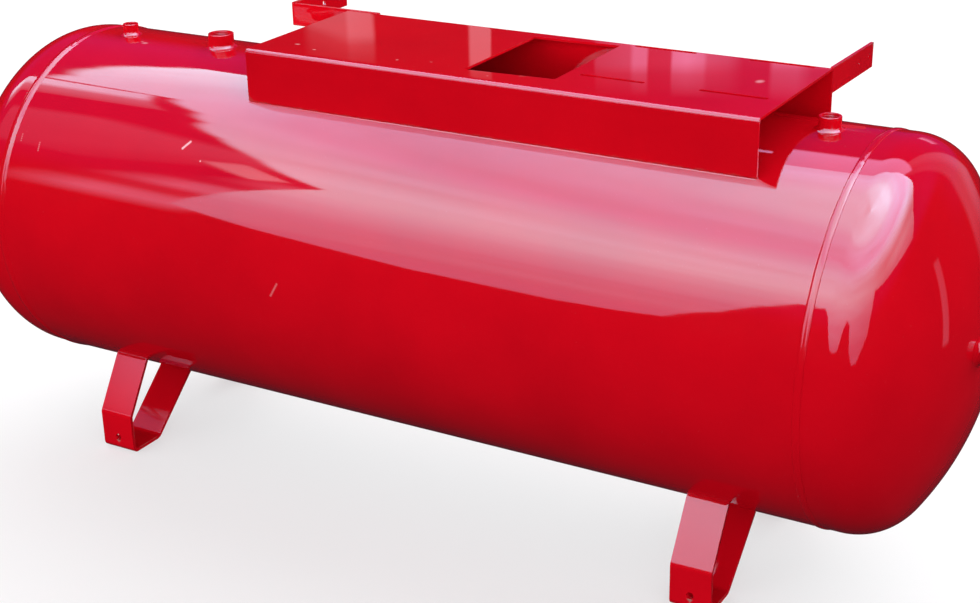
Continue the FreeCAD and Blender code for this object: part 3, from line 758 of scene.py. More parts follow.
class MakeSockets(bpy.types.Operator):
    """The pipe sockets: a rounded ring turned about its own axis, its bore cut by a spiral thread."""

    bl_idname = "tank.make_sockets"
    bl_label = "Pipe sockets"

    def execute(self, context):
        turns = 120
        angle = np.linspace(0, TURN, turns, endpoint=False)[None, :]
        corner = np.linspace(0, math.pi / 2, 6)
        soft, rows = SOCKET_ROUNDING, SOCKET_SIDE_ROWS
        paint = shared_material("socket_enamel", peel=1.2, wear=0.5)
        for name, bore, pitch in SOCKETS:
            seat = Seat(name)
            outer, inner = socket_radius(name), bore / 2
            thread_top = seat.top - THREAD_START
            threads = np.arange(thread_top, seat.bottom, -pitch / ROWS_IN_PITCH)
            outer_side = np.stack([np.full(rows, outer),
                                   np.linspace(seat.bottom, seat.top - soft, rows, endpoint=False)], -1)
            shoulder = np.stack([outer - soft + soft * np.cos(corner), seat.top - soft + soft * np.sin(corner)], -1)
            lip = np.stack([inner + LIP_WIDTH - LIP_RADIUS * np.sin(corner),
                            seat.top - LIP_RADIUS + LIP_RADIUS * np.cos(corner)], -1)
            throat = np.stack([np.full(len(threads), inner), threads], -1)
            section = np.concatenate([outer_side, shoulder, lip, throat])
            radius = np.repeat(section[:, :1], turns, 1)
            height = np.repeat(section[:, 1:], turns, 1)
            first = len(section) - len(threads)
            depth = height[first:]
            window = np.clip((thread_top - depth) / pitch, 0, 1) * np.clip((depth - seat.bottom) / pitch, 0, 1)
            wave = np.cos(TURN * depth / pitch - angle)
            radius[first:] += THREAD_DEPTH * window * (1 + np.clip(1.3 * wave, -1, 1))
            radius[:rows] += 0.06 * MM * np.cos(3 * angle + inner * 900)
            points = seat.place(radius * np.cos(angle), radius * np.sin(angle), height)
            finish = np.zeros(len(section), int)
            finish[first + PAINTED_THREAD_ROWS:-1] = 1
            ring = closed_grid("pipe_" + name, points, [paint, inside_plate()], finish)
            smooth(ring, 55)
            take_place(ring, name)
        return {"FINISHED"}


class MakeSocketFillets(bpy.types.Operator):
    """The fillet welds round the sockets: a hollow quarter section carried round, its toe on the vessel."""

    bl_idname = "tank.make_socket_fillets"
    bl_label = "Socket welds"

    def execute(self, context):
        leg = context.scene.tank_sizes.socket_leg
        angle = np.linspace(0, TURN, FILLET_TURNS, endpoint=False)[None, :]
        share = np.linspace(0, math.pi / 2, 12)[:, None]
        paint = fillet_paint()
        for number, (name, _, _) in enumerate(SOCKETS):
            seat = Seat(name)
            outer = socket_radius(name)
            spoke = np.stack([np.cos(angle), np.sin(angle), np.full(angle.shape, number * 5.0)], -1)
            uneven = soft_waves(spoke, 1.3, 1.0, FILLET_SEED + number)
            beads = round(TURN * outer / FILLET_PITCH)
            ripple = np.cos(beads * angle + 2.2 * share + uneven)
            reach = leg * (0.93 + 0.05 * uneven + 0.012 * ripple)
            climb = leg * (0.80 - 0.05 * uneven + 0.012 * ripple)
            away = outer + reach * (1 - np.cos(share) ** FILLET_HOLLOW)
            rise = climb * (1 - np.sin(share) ** FILLET_HOLLOW)
            root = np.full(angle.shape, outer - 0.6 * MM)
            away = np.concatenate([root, away, away[-1:], root])
            rise = np.concatenate([rise[:1], rise - 0.03 * MM, np.full((2, FILLET_TURNS), -1.2 * MM)])
            along, across = away * np.cos(angle), away * np.sin(angle)
            points = seat.place(along, across, seat.surface(along, across) + rise)
            fillet = closed_grid(name + "_fillet", points, [paint])
            smooth(fillet, 50)
            take_place(fillet, name + "_weld")
        return {"FINISHED"}


# Folded sheet and bent bar


def bent_line(corners, radii, step):
    """Points and outward normals along straight runs joined by tangent arcs; outward is right of the path."""
    corners = np.asarray(corners, float)
    runs = np.diff(corners, axis=0)
    ways = runs / np.linalg.norm(runs, axis=1)[:, None]
    points, normals = [], []
    start = corners[0]
    for number, way in enumerate(ways):
        normal = np.array([way[1], -way[0]])
        last = number == len(ways) - 1
        end = corners[number + 1]
        if not last:
            turn = math.atan2(way[0] * ways[number + 1][1] - way[1] * ways[number + 1][0],
                              float(way @ ways[number + 1]))
            trim = radii[number] * math.tan(abs(turn) / 2)
            end = end - way * trim
        count = max(2, int(np.linalg.norm(end - start) / step) + 1)
        share = np.linspace(0, 1, count)[:, None]
        points.append(start + (end - start) * share)
        normals.append(np.repeat(normal[None], count, 0))
        if not last:
            centre = end - normal * radii[number] * np.sign(turn)
            swing = np.linspace(0, turn, 14)[1:-1]
            spin = np.stack([np.cos(swing), -np.sin(swing), np.sin(swing), np.cos(swing)], -1).reshape(-1, 2, 2)
            arc_normals = spin @ normal
            points.append(centre + arc_normals * radii[number] * np.sign(turn))
            normals.append(arc_normals)
            start = corners[number + 1] + ways[number + 1] * trim
    return np.concatenate(points), np.concatenate(normals)


def plate_faces(rows, columns):
    """Faces of a closed plate: an outer grid, an inner grid, and strips along its four edges."""
    outer = grid_quads(rows, columns)
    inner = outer[:, ::-1] + rows * columns
    number = np.arange(rows * columns).reshape(rows, columns)
    rim = np.concatenate([number[0, :-1], number[:-1, -1], number[-1, :0:-1], number[:0:-1, 0]])
    following = np.roll(rim, -1)
    strip = np.stack([rim, rim + rows * columns, following + rows * columns, following], -1)
    return np.concatenate([outer, inner, strip]).tolist()


def bent_plate(name, outer, inner, across, axis, material, waves=0.0, seed=0):
    """A plate from two lines of points, outer and inner, carried across along an axis."""
    points = np.zeros((2, len(outer), len(across), 3))
    for layer, line in enumerate((outer, inner)):
        points[layer, ..., (axis + 1) % 3] = line[:, :1]
        points[layer, ..., (axis + 2) % 3] = line[:, 1:]
        points[layer, ..., axis] = across
    if waves:
        swell = soft_waves(points[0], 0.35, waves, seed)
        points[..., 2] -= swell + abs(swell).max()
    return new_object(name, points, plate_faces(len(outer), len(across)), [material])


def weld_run(name, roots, first, second, legs, material, seed, pitch=WELD_PITCH):
    """A fillet weld along a straight root: a slightly full quarter section with curved ripples and round ends.

    roots are its two ends, first and second the unit directions along the two plates, legs its reach on each.
    """
    start, end = np.asarray(roots[0], float), np.asarray(roots[1], float)
    length = float(np.linalg.norm(end - start))
    count = max(24, int(length / WELD_STEP))
    along = np.linspace(0, length, count)[None, :]
    share = np.linspace(0, math.pi / 2, 9)[:, None]
    draw = np.random.default_rng(seed)
    wander = 0
    for _ in range(5):
        height, wavelength, phase = draw.uniform(0.3, 1), draw.uniform(25 * MM, 90 * MM), draw.uniform(0, TURN)
        wander = wander + height * np.cos(TURN * along / wavelength + phase)
    wander = wander / 3
    ripple = np.cos(TURN * along / pitch - 1.6 * np.sin(2 * share) + 2 * wander)
    size = (0.86 + 0.07 * wander) * (1 + 0.035 * ripple)
    from_end = np.minimum(along, length - along)
    size = size * np.sqrt(np.clip(from_end / WELD_END, 0.03, 1))
    reach = legs[0] * size * np.cos(share) ** WELD_FULLNESS
    climb = legs[1] * size * np.sin(share) ** WELD_FULLNESS
    sink = np.full((1, count), -WELD_SINK)
    reach = np.concatenate([reach, sink, sink, reach[:1]])
    climb = np.concatenate([climb, climb[-1:], sink, sink])
    points = (start + along[..., None] * ((end - start) / length) + reach[..., None] * np.asarray(first, float)
              + climb[..., None] * np.asarray(second, float))
    rows = len(reach)
    column = np.arange(rows) * count
    faces = grid_quads(rows, count, close_rows=True).tolist()
    faces += [column.tolist(), (column[::-1] + count - 1).tolist()]
    return new_object(name, points, faces, [material])


def joined(name, runs, *nodes):
    """Several runs made into one piece that stands for CAD nodes."""
    work = bmesh.new()
    for run in runs:
        work.from_mesh(run.data)
    mesh = bpy.data.meshes.new(name)
    work.to_mesh(mesh)
    work.free()
    mesh.materials.append(runs[0].data.materials[0])
    piece = bpy.data.objects.new(name, mesh)
    bpy.context.scene.collection.objects.link(piece)
    for run in runs:
        used = run.data
        bpy.data.objects.remove(run)
        bpy.data.meshes.remove(used)
    smooth(piece, 60)
    take_place(piece, *nodes)


# Flecks and a larger chip on the platform's top
PLATFORM_MARKS = (
    ((-0.224, -0.107, 0.7635), (0.0060, 0.0040, 0.003), 0.45),
    ((-0.179, -0.124, 0.7635), (0.0040, 0.0030, 0.003), 0.45),
    ((-0.024, -0.120, 0.7635), (0.0030, 0.0030, 0.003), 0.45),
    ((0.031, -0.108, 0.7635), (0.0030, 0.0020, 0.003), 0.30),
    ((0.150, -0.140, 0.7635), (0.0025, 0.0020, 0.003), 0.30),
    ((0.527, 0.009, 0.7635), (0.0080, 0.0110, 0.003), 0.40),
)


class MakePlatform(bpy.types.Operator):
    """The platform: a sheet folded along its front and rear edges, with an opening and four slots."""

    bl_idname = "tank.make_platform"
    bl_label = "Platform"

    def execute(self, context):
        sizes = context.scene.tank_sizes
        low, high = PLATFORM_LOW, PLATFORM_HIGH
        corners = [(low.y, low.z), (low.y, high.z), (high.y, high.z), (high.y, low.z)]
        outer, normals = bent_line(corners[::-1], (sizes.sheet_bend,) * 2, 9 * MM)
        inner = outer - normals * sizes.sheet
        across = np.linspace(low.x, high.x, 100)
        paint = shared_material("platform_enamel", peel=0.25, wear=0.2, dull=-0.012, chips=PLATFORM_MARKS)
        sheet = bent_plate("platform_sheet", outer, inner, across, 0, paint, 0.06 * MM, SHEET_SEED)
        left, right = high.x - OPENING_LEFT, high.x - OPENING_RIGHT
        opening = [(left, low.y + OPENING_FRONT[0]), (right, low.y + OPENING_FRONT[1]),
                   (right, high.y - OPENING_REAR[1]), (left, high.y - OPENING_REAR[0])]
        outlines = [rounded_outline(opening, OPENING_CORNER)]
        outlines += [stadium((high.x - gap, high.y - depth), SLOT_LENGTH, SLOT_WIDTH)
                     for gap in SLOTS_FROM_RIGHT for depth in SLOTS_FROM_REAR]
        cutters = [prism("opening", outline, TOP_CUT_LOW, TOP_CUT_HIGH, 2) for outline in outlines]
        cut(sheet, cutters)
        round_edges(sheet, 0.6 * sizes.edge)
        take_place(sheet, "platform")
        return {"FINISHED"}


class MakePlatformWelds(bpy.types.Operator):
    """The fillet welds along the platform's two feet: ripples on a section between flange and shell."""

    bl_idname = "tank.make_platform_welds"
    bl_label = "Platform welds"

    def execute(self, context):
        paint = fillet_paint()
        for name, side in (("platform_weld_front", -1), ("platform_weld_rear", 1)):
            low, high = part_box(name)
            flange = high.y if side < 0 else low.y
            seat = flange - AXIS_Y
            height = AXIS_Z + math.sqrt(RADIUS ** 2 - seat ** 2)
            down = np.array([0.0, side * (height - AXIS_Z), -abs(seat)]) / RADIUS
            leg = PLATFORM_WELD_SHARE * (high.y - low.y)
            run = weld_run(name + "_run", ((low.x, flange, height), (high.x, flange, height)),
                           down, (0.0, 0.0, 1.0), (leg, leg), paint, PLATFORM_WELD_SEED + side)
            joined(name.replace("weld", "fillet"), [run], name)
        return {"FINISHED"}


class MakeBrackets(bpy.types.Operator):
    """The guard brackets behind the platform: one bar bent at a corner, one straight and drooping a little."""

    bl_idname = "tank.make_brackets"
    bl_label = "Guard brackets"

    def execute(self, context):
        sizes = context.scene.tank_sizes
        paint = shared_material("bar_enamel", peel=1.2, wear=0.55)
        low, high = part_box("guard_bracket_left")
        corners = [(low.x, high.y), (low.x, low.y), (high.x, low.y)]
        outer, normals = bent_line(corners, (BRACKET_BEND,), 10 * MM)
        inner = outer - normals * sizes.bar
        left = bent_plate("left_guard_bracket", outer, inner, np.linspace(low.z, high.z, 6), 2, paint)
        height = (low.z + high.z) / 2
        cut(left, [prism("hole", circle((high.y - gap, height), BRACKET_HOLE, 40), low.x - 0.01, low.x + 0.02, 0)
                   for gap in LEFT_HOLES])
        round_edges(left, sizes.edge)
        take_place(left, "guard_bracket_left")

        low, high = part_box("guard_bracket_right")
        turn_across, turn_down = math.cos(BRACKET_DROOP), math.sin(BRACKET_DROOP)
        way, up = np.array([turn_across, -turn_down]), np.array([turn_down, turn_across])
        root = np.array([low.y, high.z])
        length = (high.y - low.y) / turn_across
        along = np.linspace(0, length, 24)[:, None, None]
        down = np.linspace(0, BRACKET_HEIGHT, 6)[None, :, None]
        points = np.zeros((2, 24, 6, 3))
        points[..., 1:] = root + along * way - down * up
        points[0, ..., 0], points[1, ..., 0] = high.x, low.x
        right = new_object("right_guard_bracket", points, plate_faces(24, 6), [paint])
        centres = [root + (length - gap) * way - BRACKET_HEIGHT / 2 * up for gap in RIGHT_HOLES]
        cutters = [prism("hole", circle(centre, BRACKET_HOLE, 40), low.x - 0.01, high.x + 0.01, 0)
                   for centre in centres]
        cut(right, cutters)
        round_edges(right, sizes.edge)
        take_place(right, "guard_bracket_right")
        return {"FINISHED"}


class MakeBracketWelds(bpy.types.Operator):
    """The short fillet welds that hold the guard brackets to the platform's rear flange."""

    bl_idname = "tank.make_bracket_welds"
    bl_label = "Bracket welds"

    def execute(self, context):
        paint = fillet_paint()
        legs, y, back = (BRACKET_LEG, BRACKET_LEG), PLATFORM_HIGH.y, (0.0, 1.0, 0.0)
        low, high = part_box("guard_bracket_right")
        ends = ((low.x, y, high.z - BRACKET_HEIGHT), (low.x, y, high.z - PLATFORM_FOLD))
        run = weld_run("run", ends, (-1.0, 0.0, 0.0), back, legs, paint, BRACKET_WELD_SEEDS[0])
        joined("right_bracket_fillet", [run], "guard_bracket_right_weld")
        low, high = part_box("guard_bracket_left")
        ends = ((PLATFORM_LOW.x + BRACKET_LEG, y, low.z), (high.x - BRACKET_LEG, y, low.z))
        under = weld_run("run", ends, (0.0, 0.0, -1.0), back, legs, paint, BRACKET_WELD_SEEDS[1])
        ends = ((high.x, y, low.z), (high.x, y, high.z - PLATFORM_FOLD))
        upright = weld_run("run", ends, (1.0, 0.0, 0.0), back, legs, paint, BRACKET_WELD_SEEDS[2])
        joined("left_bracket_fillet", [under, upright], "guard_bracket_left_weld")
        return {"FINISHED"}


# Feet


def to_shell(point, way, radius):
    """Where a straight line from a point first meets the shell's circle in the Y-Z plane."""
    offset = point - (AXIS_Y, AXIS_Z)
    half = float(offset @ way)
    return point + way * (-half - math.sqrt(half ** 2 - float(offset @ offset) + radius ** 2))


def foot_lines(sizes, side):
    """Outer and inner lines of a foot bar in Y-Z, from its seat under the belly round to its outer seat."""
    low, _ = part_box("foot_front_left")
    outside = low.y - AXIS_Y
    inner_seat, outer_seat = ((y, AXIS_Z - math.sqrt(RADIUS ** 2 - y ** 2)) for y in (INNER_SEAT, OUTER_SEAT))
    corners = np.array([inner_seat, (outside + FOOT_SOLE, low.z), (outside, low.z), (outside, FOOT_UPRIGHT),
                        outer_seat])
    corners[:, 0] += AXIS_Y
    outer, normals = bent_line(corners, (HEEL_BEND, TOE_BEND, KNEE_BEND), 7 * MM)
    inner = outer + normals * sizes.foot_bar
    for line in (outer, inner):
        for end, before in ((0, 1), (-1, -2)):
            way = line[end] - line[before]
            line[end] = to_shell(line[before], way / np.linalg.norm(way), RADIUS - 0.4 * MM)
        if side > 0:
            line[:, 0] = 2 * AXIS_Y - line[:, 0]
    return outer, inner


class MakeFeet(bpy.types.Operator):
    """The four feet: a flat bar bent at knee, toe and heel, both its ends cut to the shell's curve."""

    bl_idname = "tank.make_feet"
    bl_label = "Feet"

    def execute(self, context):
        sizes = context.scene.tank_sizes
        paint = shared_material("foot_enamel", peel=1.4, wear=0.8, dull=0.02)
        for name, side in FEET:
            low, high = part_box(name)
            outer, inner = foot_lines(sizes, side)
            across = np.linspace(low.x, high.x, 11)
            foot = bent_plate("bent_" + name, outer, inner, across, 0, paint)
            outside = low.y if side < 0 else high.y
            outline = circle((FOOT_HOLE_HEIGHT, (low.x + high.x) / 2), FOOT_HOLE, 48)
            cut(foot, [prism("hole", outline, outside - 0.02, outside + 0.02, 1)])
            round_edges(foot, sizes.edge)
            take_place(foot, name)
        return {"FINISHED"}


class MakeFootWelds(bpy.types.Operator):
    """The fillet welds across the outside of each foot's two seats."""

    bl_idname = "tank.make_foot_welds"
    bl_label = "Foot welds"

    def execute(self, context):
        sizes = context.scene.tank_sizes
        paint = shared_material("foot_fillet_enamel", peel=1.4, dull=0.3)
        for number, (name, side) in enumerate(FEET):
            low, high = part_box(name)
            outer, _ = foot_lines(sizes, side)
            runs = []
            for end, before, away in ((-1, -2, side), (0, 1, -side)):
                seat = outer[end]
                spoke = seat - (AXIS_Y, AXIS_Z)
                spoke = spoke / np.linalg.norm(spoke)
                round_shell = np.array([-spoke[1], spoke[0]])
                round_shell = round_shell * (1 if round_shell[0] * away > 0 else -1)
                down = (outer[before] - seat) / np.linalg.norm(outer[before] - seat)
                roots = ((low.x + 1 * MM, *seat), (high.x - 1 * MM, *seat))
                runs.append(weld_run("run", roots, (0.0, *round_shell), (0.0, *down), (FOOT_LEG, FOOT_LEG),
                                     paint, FOOT_WELD_SEED + 2 * number + end, FOOT_WELD_PITCH))
            joined(name + "_fillets", runs, name + "_weld")
        return {"FINISHED"}


# Studio


# What the enamel mirrors, as levels on broken lines: by bearing off the front, by height, or by both, in degrees
SKYLINE = (
    (-180, 60), (-150, 59.5), (-141, 58.7), (-135, 48), (-126, 40), (-121, 41.8), (-111, 44.7), (-101, 46.7),
    (-94.9, 46.7), (-94.7, 50.9), (-91, 50.9), (-84, 51.5), (-79.5, 50.9), (-76, 50.6), (-73, 49.7), (-65, 47.9),
    (-58.8, 45.6), (-54.5, 43.7), (-49.8, 40.7), (-44.5, 37.2), (-43.1, 30.8), (-41.5, 23), (-40.4, 15.6),
    (-37, 11.5), (-31, 7), (-26, 6.5), (-24, 7.6), (-22.4, 9.5), (-21.3, 18.3), (-20.8, 30), (-19.5, 29.5),
    (-12, 19), (-4, 9.5), (2, 8.5), (8, 10), (13, 22), (17, 25.6), (22, 24), (27, 8), (33, 1), (40, 2),
    (53, 12.5), (57, 24), (60, 32.5), (76, 30), (88, 28.5), (102, 25.5), (113, 23), (121, 37.8), (131, 43.9),
    (143, 46.7), (157, 54), (180, 60))
RAGGED_EDGE = ((-24, 0), (-20, 1), (60, 1), (75, 0.3), (120, 0.1))
WINDOW = (((-94.2, 0), (-93.8, 1), (-90, 1), (-87, 0.3), (-81.4, 0.1), (-81, 0)),
          ((28, 0), (30, 1), (50.0, 1), (50.3, 0)))

# The bright part over the skyline: its colour by height, and its level by bearing low down and high up
GLOW = (
    (0, (0.12, 0.16, 0.26)), (11, (0.13, 0.18, 0.29)), (16, (0.15, 0.26, 0.38)), (21.5, (0.15, 0.27, 0.40)),
    (31, (0.23, 0.48, 0.62)), (36, (0.31, 0.68, 0.82)), (45, (0.28, 0.60, 0.76)), (50.4, (0.26, 0.52, 0.72)),
    (55, (0.29, 0.38, 0.60)), (59, (0.28, 0.39, 0.60)), (62, (0.29, 0.44, 0.67)), (66.5, (0.33, 0.53, 0.76)),
    (71, (0.36, 0.68, 0.88)), (90, (0.38, 0.74, 0.94)))
LOW_GLOW = ((-180, 1), (-47, 1), (-20, 0.95), (-2, 0.88), (36, 0.72), (60, 0.55), (76, 0.43), (88, 0.5),
            (102, 0.5), (118, 0.38), (131, 0.35), (143, 0.6), (180, 1))
HIGH_GLOW = ((-180, 1.5), (-141, 1.25), (-125, 1), (-60, 1), (-48, 1.05), (0, 1.2), (60, 1.4), (124, 1.85),
             (170, 1.65), (180, 1.5))

# The dim part under the skyline, and the lights in it
DIM, DUSK, VIOLET = (0.025, 0.016, 0.024), (0.03, 0.055, 0.38), (0.04, 0.03, 0.22)
FAR_SIDE = ((-165, 1), (-150, 0), (140, 0), (170, 1))
EDGE_LIGHT, UNDER_EDGE = ((-52, 0), (-51, 0.8), (-46.5, 1), (-45.7, 0)), ((1.0, 0), (1.3, 1), (3.2, 1), (3.8, 0))
SLATS = (((-46.5, 0), (-43.5, 1), (-40, 1), (-39, 0)),
         ((11, 0.0), (15.5, 0.7), (18, 0.6), (20.5, 0.1), (22.5, 0.1), (25, 0.7), (27.5, 0.6), (29.5, 0.08),
          (31, 0.08), (34, 0.55), (35.5, 0.5), (36.3, 0.1), (37.4, 0.12)))
HAZE = (((-70, 0), (-67, 0.9), (-54, 1), (-50, 0.5), (-49, 0)),
        ((28, 0), (30, 0.13), (38, 0.16), (44, 0.24), (46, 0)))
BEHIND = (((-138.5, 1), (-137.5, 0), (157, 0), (160, 1)), ((45.5, 0), (47.5, 1)))
GAPS = (
    (-180, 0.5), (-172, 0.5), (-171, 0.0), (-163, 0.0), (-162, 0.08), (-160.6, 0.12), (-160.3, 0.28),
    (-160.1, 0.4), (-159.3, 0.36), (-159.15, 0.03), (-158.3, 0.03), (-157.8, 0.15), (-157.1, 0.2),
    (-156.95, 0.4), (-156.4, 0.5), (-155.95, 0.42), (-155.85, 0.06), (-155.15, 0.05), (-155.05, 0.36),
    (-154.65, 0.36), (-154.5, 0.16), (-153.4, 0.1), (-153.3, 0.0), (-149.85, 0.0), (-149.8, 0.34),
    (-149.15, 0.34), (-149.05, 0.0), (-146.0, 0.0), (-145.85, 0.30), (-145.1, 0.34), (-144.95, 0.2),
    (-143.8, 0.2), (-143.5, 0.0))
GAP_LIFT = ((-147.5, 0.0), (-147, 1.0), (-145, 1.0), (-143.5, 1.5))
GAP_HEIGHTS = ((9.0, 0.0), (12.0, 0.5), (13.0, 1.0), (14.8, 0.95), (15.1, 0.35), (16.0, 0.0))
GAP_WARMTH = ((-152, 0), (-151, 1))
STRIP = ((152, 0), (155, 0.07), (160, 0.06), (166, 0.11), (170, 0.1), (172, 0))
STREAK = (((123.3, 0), (124, 0.16), (126.6, 0.13), (127.3, 0)), ((-15, 0), (-14, 1), (4.3, 1), (5.3, 0)))


class MakeCamera(bpy.types.Operator):
    """The camera, from its place, its turn about Z, its look downwards and its roll."""

    bl_idname = "tank.make_camera"
    bl_label = "Camera"

    def execute(self, context):
        studio = context.scene.tank_studio
        yaw, pitch, roll = studio.yaw, studio.pitch, studio.roll
        ahead = np.array([-math.sin(yaw) * math.cos(pitch), math.cos(yaw) * math.cos(pitch), -math.sin(pitch)])
        level = np.array([math.cos(yaw), math.sin(yaw), 0.0])
        upright = np.cross(level, ahead)
        right = math.cos(roll) * level + math.sin(roll) * upright
        above = -math.sin(roll) * level + math.cos(roll) * upright
        pose = np.eye(4)
        pose[:3, 0], pose[:3, 1], pose[:3, 2], pose[:3, 3] = right, above, -ahead, studio.eye
        lens = bpy.data.cameras.new("camera")
        lens.lens = studio.lens
        lens.sensor_width = 36.0
        lens.clip_end = 200.0
        camera = bpy.data.objects.new("camera", lens)
        context.scene.collection.objects.link(camera)
        camera.matrix_world = pose.T.tolist()
        context.scene.camera = camera
        return {"FINISHED"}


def smooth_step(tree, value, low, high):
    """A smooth rise of a value from 0 at low to 1 at high."""
    made = node(tree, "ShaderNodeMapRange", {"Value": value, "From Min": low, "From Max": high},
                interpolation_type="SMOOTHSTEP")
    return made.outputs["Result"]


class Surround:
    """The directions round the tank: bearing off the front and height over the horizon, in degrees."""

    def __init__(self, tree):
        self.tree = tree
        self.way = node(tree, "ShaderNodeTexCoord").outputs["Generated"]
        parts = node(tree, "ShaderNodeSeparateXYZ", {"Vector": self.way}).outputs
        self.up, self.back, self.front = parts["Z"], parts["Y"], times(tree, parts["Y"], -1.0)
        self.bearing = times(tree, maths(tree, "ARCTAN2", parts["X"], self.front), 360 / TURN)
        self.height = times(tree, maths(tree, "ARCSINE", self.up), 360 / TURN)

    def by_bearing(self, stops):
        """Levels by bearing."""
        return broken_line(self.tree, self.bearing, stops)

    def patch(self, bearings, heights):
        """Levels by bearing times levels by height."""
        return times(self.tree, self.by_bearing(bearings), broken_line(self.tree, self.height, heights))


def soft_light(around, studio):
    """The light that falls on the tank: stronger low down and in front, some from behind, none from below."""
    tree = around.tree
    level = plus(tree, times(tree, maths(tree, "MAXIMUM", around.front), studio.key), studio.wall)
    low_weight = maths(tree, "POWER", minus(tree, 1.0, around.up), 2.0)
    level = plus(tree, times(tree, level, low_weight), studio.fill)
    level = plus(tree, level, times(tree, maths(tree, "MAXIMUM", around.back), studio.back))
    return plus(tree, times(tree, level, smooth_step(tree, around.up, -0.02, 0.23)), 0.03)


def bright_part(around, studio):
    """What is mirrored over the skyline: a colour by height, clouds drawn out level, and a level by bearing."""
    tree = around.tree
    share = maths(tree, "DIVIDE", around.height, 90.0)
    glow = ramp(tree, share, [(height / 90, colour) for height, colour in GLOW])
    flat = node(tree, "ShaderNodeMapping", {"Vector": around.way, "Scale": (1.2, 1.2, 9.0)}).outputs["Vector"]
    cloud = ramp(tree, noise(tree, flat, 1.6, 7.0, 0.6), [(0.3, grey(0.76)), (0.7, grey(1.0))])
    glow = colour_mix(tree, 1.0, glow, cloud, "MULTIPLY")
    low, high = around.by_bearing(LOW_GLOW), around.by_bearing(HIGH_GLOW)
    spread = plus(tree, low, times(tree, smooth_step(tree, around.height, 40.0, 54.0), minus(tree, high, low)))
    spread = times(tree, spread, studio.softbox)
    return node(tree, "ShaderNodeVectorMath", {0: glow, "Scale": spread}, operation="SCALE").outputs[0]


def dim_part(around, edge):
    """What is mirrored under the skyline: a dim ground, with the lights that stand in it laid over one by one."""
    tree, height = around.tree, around.height
    far_side = times(tree, around.by_bearing(FAR_SIDE), smooth_step(tree, height, 0.0, 7.0))
    edge_light = times(tree, around.by_bearing(EDGE_LIGHT), broken_line(tree, minus(tree, edge, height), UNDER_EDGE))
    slats_and_haze = plus(tree, around.patch(*SLATS), around.patch(*HAZE))
    lifted = plus(tree, height, around.by_bearing(GAP_LIFT))
    gaps = times(tree, around.by_bearing(GAPS), broken_line(tree, lifted, GAP_HEIGHTS))
    daylight = colour_mix(tree, around.by_bearing(GAP_WARMTH), (1.9, 1.4, 2.4), (1.8, 1.3, 1.5))
    strip = times(tree, around.by_bearing(STRIP), smooth_step(tree, height, -14.0, 0.0))
    strip_and_streak = plus(tree, strip, around.patch(*STREAK))
    mirrored = DIM
    for level, colour in ((smooth_step(tree, height, 15.5, 30.0), DUSK), (far_side, VIOLET),
                          (edge_light, (3.2, 3.0, 3.7)), (slats_and_haze, (3.2, 2.5, 3.9)),
                          (around.patch(*BEHIND), (2.9, 2.2, 4.2)), (gaps, daylight),
                          (strip_and_streak, (4.0, 3.2, 4.6))):
        mirrored = colour_mix(tree, level, mirrored, colour)
    return mirrored


def studio_light(world, studio):
    """Soft light from all round, and for the enamel's mirrored rays alone a bright part over a dim one."""
    world.use_nodes = True
    tree = world.node_tree
    tree.nodes.clear()
    around = Surround(tree)
    ragged = node(tree, "ShaderNodeTexNoise",
                  {"W": times(tree, around.bearing, 0.17), "Detail": 3.0, "Roughness": 0.7}, noise_dimensions="1D")
    ragged = times(tree, minus(tree, ragged.outputs["Fac"], 0.5), 5.4)
    edge = plus(tree, around.by_bearing(SKYLINE), times(tree, ragged, around.by_bearing(RAGGED_EDGE)))
    over = smooth_step(tree, minus(tree, around.height, edge), -0.35, 0.35)
    over = maths(tree, "MAXIMUM", over, around.patch(*WINDOW))
    mirrored = colour_mix(tree, over, dim_part(around, edge), bright_part(around, studio))

    path = node(tree, "ShaderNodeLightPath").outputs
    light = colour_mix(tree, path["Is Glossy Ray"], soft_light(around, studio), mirrored)
    light = colour_mix(tree, path["Is Camera Ray"], light, studio.backdrop)
    background = node(tree, "ShaderNodeBackground", {"Color": light, "Strength": 1.0})
    output = node(tree, "ShaderNodeOutputWorld", {"Surface": background.outputs["Background"]})
    output.is_active_output = True


def floor_paint(studio):
    """The floor: a faint cloudiness, partly lit by itself so that shadows stay faint, clear from below."""
    paint = bpy.data.materials.new("studio_floor")
    paint.use_nodes = True
    tree = paint.node_tree
    tree.nodes.clear()
    place = node(tree, "ShaderNodeTexCoord").outputs["Object"]
    shade = tuple(0.985 * part for part in studio.floor)
    colour = ramp(tree, noise(tree, place, 3.0, 3.0), [(0.3, shade), (0.7, tuple(studio.floor))])
    matt = node(tree, "ShaderNodeBsdfDiffuse", {"Color": colour})
    clear = node(tree, "ShaderNodeBsdfTransparent")
    back = node(tree, "ShaderNodeNewGeometry").outputs["Backfacing"]
    lit = node(tree, "ShaderNodeEmission", {"Color": (*studio.floor, 1.0), "Strength": 1.0})
    pale = node(tree, "ShaderNodeMixShader", {0: 0.55, 1: matt.outputs["BSDF"], 2: lit.outputs["Emission"]})
    one_sided = node(tree, "ShaderNodeMixShader", {0: back, 1: pale.outputs["Shader"], 2: clear.outputs["BSDF"]})
    node(tree, "ShaderNodeOutputMaterial", {"Surface": one_sided.outputs["Shader"]})
    return paint


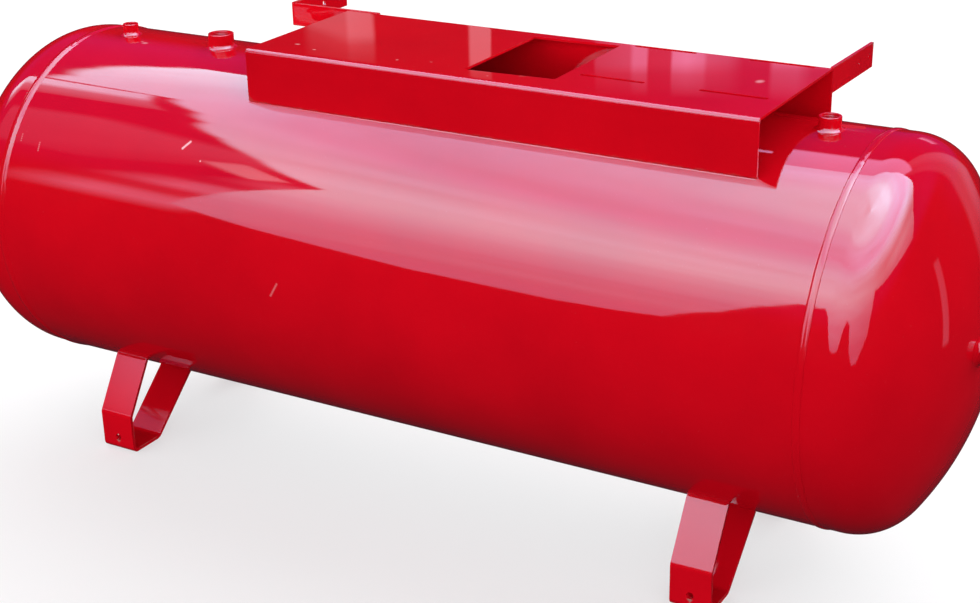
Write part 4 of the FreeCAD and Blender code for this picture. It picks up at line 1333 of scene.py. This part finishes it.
class MakeStudio(bpy.types.Operator):
    """The stage: a wide pale floor that shows only to the camera, and soft light all round."""

    bl_idname = "tank.make_studio"
    bl_label = "Studio"

    def execute(self, context):
        studio = context.scene.tank_studio
        world = bpy.data.worlds.new("soft_studio")
        context.scene.world = world
        studio_light(world, studio)
        context.scene.view_settings.view_transform = "Standard"

        rows, turns = 24, 96
        angle = np.linspace(0, TURN, turns, endpoint=False)[None, :]
        radius = 0.2 * 1.28 ** np.arange(rows)[:, None]
        points = np.stack([radius * np.cos(angle), radius * np.sin(angle), np.zeros((rows, turns))], -1)
        faces = grid_quads(rows, turns, close_columns=True).tolist() + [list(range(turns))]
        floor = new_object("studio_floor", points, faces, [floor_paint(studio)])
        if floor.data.polygons[0].normal.z < 0:
            floor.data.flip_normals()
        floor.visible_glossy = False
        floor.visible_diffuse = False
        floor.visible_shadow = False
        return {"FINISHED"}


class TankPanel(bpy.types.Panel):
    """The tank's sizes and finish, and its pieces in building order."""

    bl_idname = "VIEW3D_PT_pressure_tank"
    bl_label = "Horizontal pressure tank"
    bl_space_type = "VIEW_3D"
    bl_region_type = "UI"
    bl_category = "Tank"

    def draw(self, context):
        scene = context.scene
        for group in (scene.tank_sizes, scene.tank_finish, scene.tank_studio):
            box = self.layout.box()
            for name in type(group).__annotations__:
                box.prop(group, name)
        for operator in STEPS:
            self.layout.operator(operator.bl_idname)


GROUPS = {"tank_sizes": TankSizes, "tank_finish": TankFinish, "tank_studio": TankStudio}
STEPS = (MakeCamera, MakeStudio, MakeShell, MakeHeads, MakeGirthBeads, MakeSockets, MakeSocketFillets,
         MakePlatform, MakePlatformWelds, MakeBrackets, MakeBracketWelds, MakeFeet, MakeFootWelds)


def register():
    """Registers the settings, operators and panel."""
    for name, group in GROUPS.items():
        bpy.utils.register_class(group)
        setattr(bpy.types.Scene, name, bpy.props.PointerProperty(type=group))
    for step in STEPS:
        bpy.utils.register_class(step)
    bpy.utils.register_class(TankPanel)


def unregister():
    """Takes the panel, operators and settings away again."""
    bpy.utils.unregister_class(TankPanel)
    for step in reversed(STEPS):
        bpy.utils.unregister_class(step)
    for name, group in GROUPS.items():
        delattr(bpy.types.Scene, name)
        bpy.utils.unregister_class(group)


def main():
    """Builds the studio and every piece."""
    register()
    for step in STEPS:
        family, action = step.bl_idname.split(".")
        getattr(getattr(bpy.ops, family), action)()


if __name__ == "__main__":
    main()
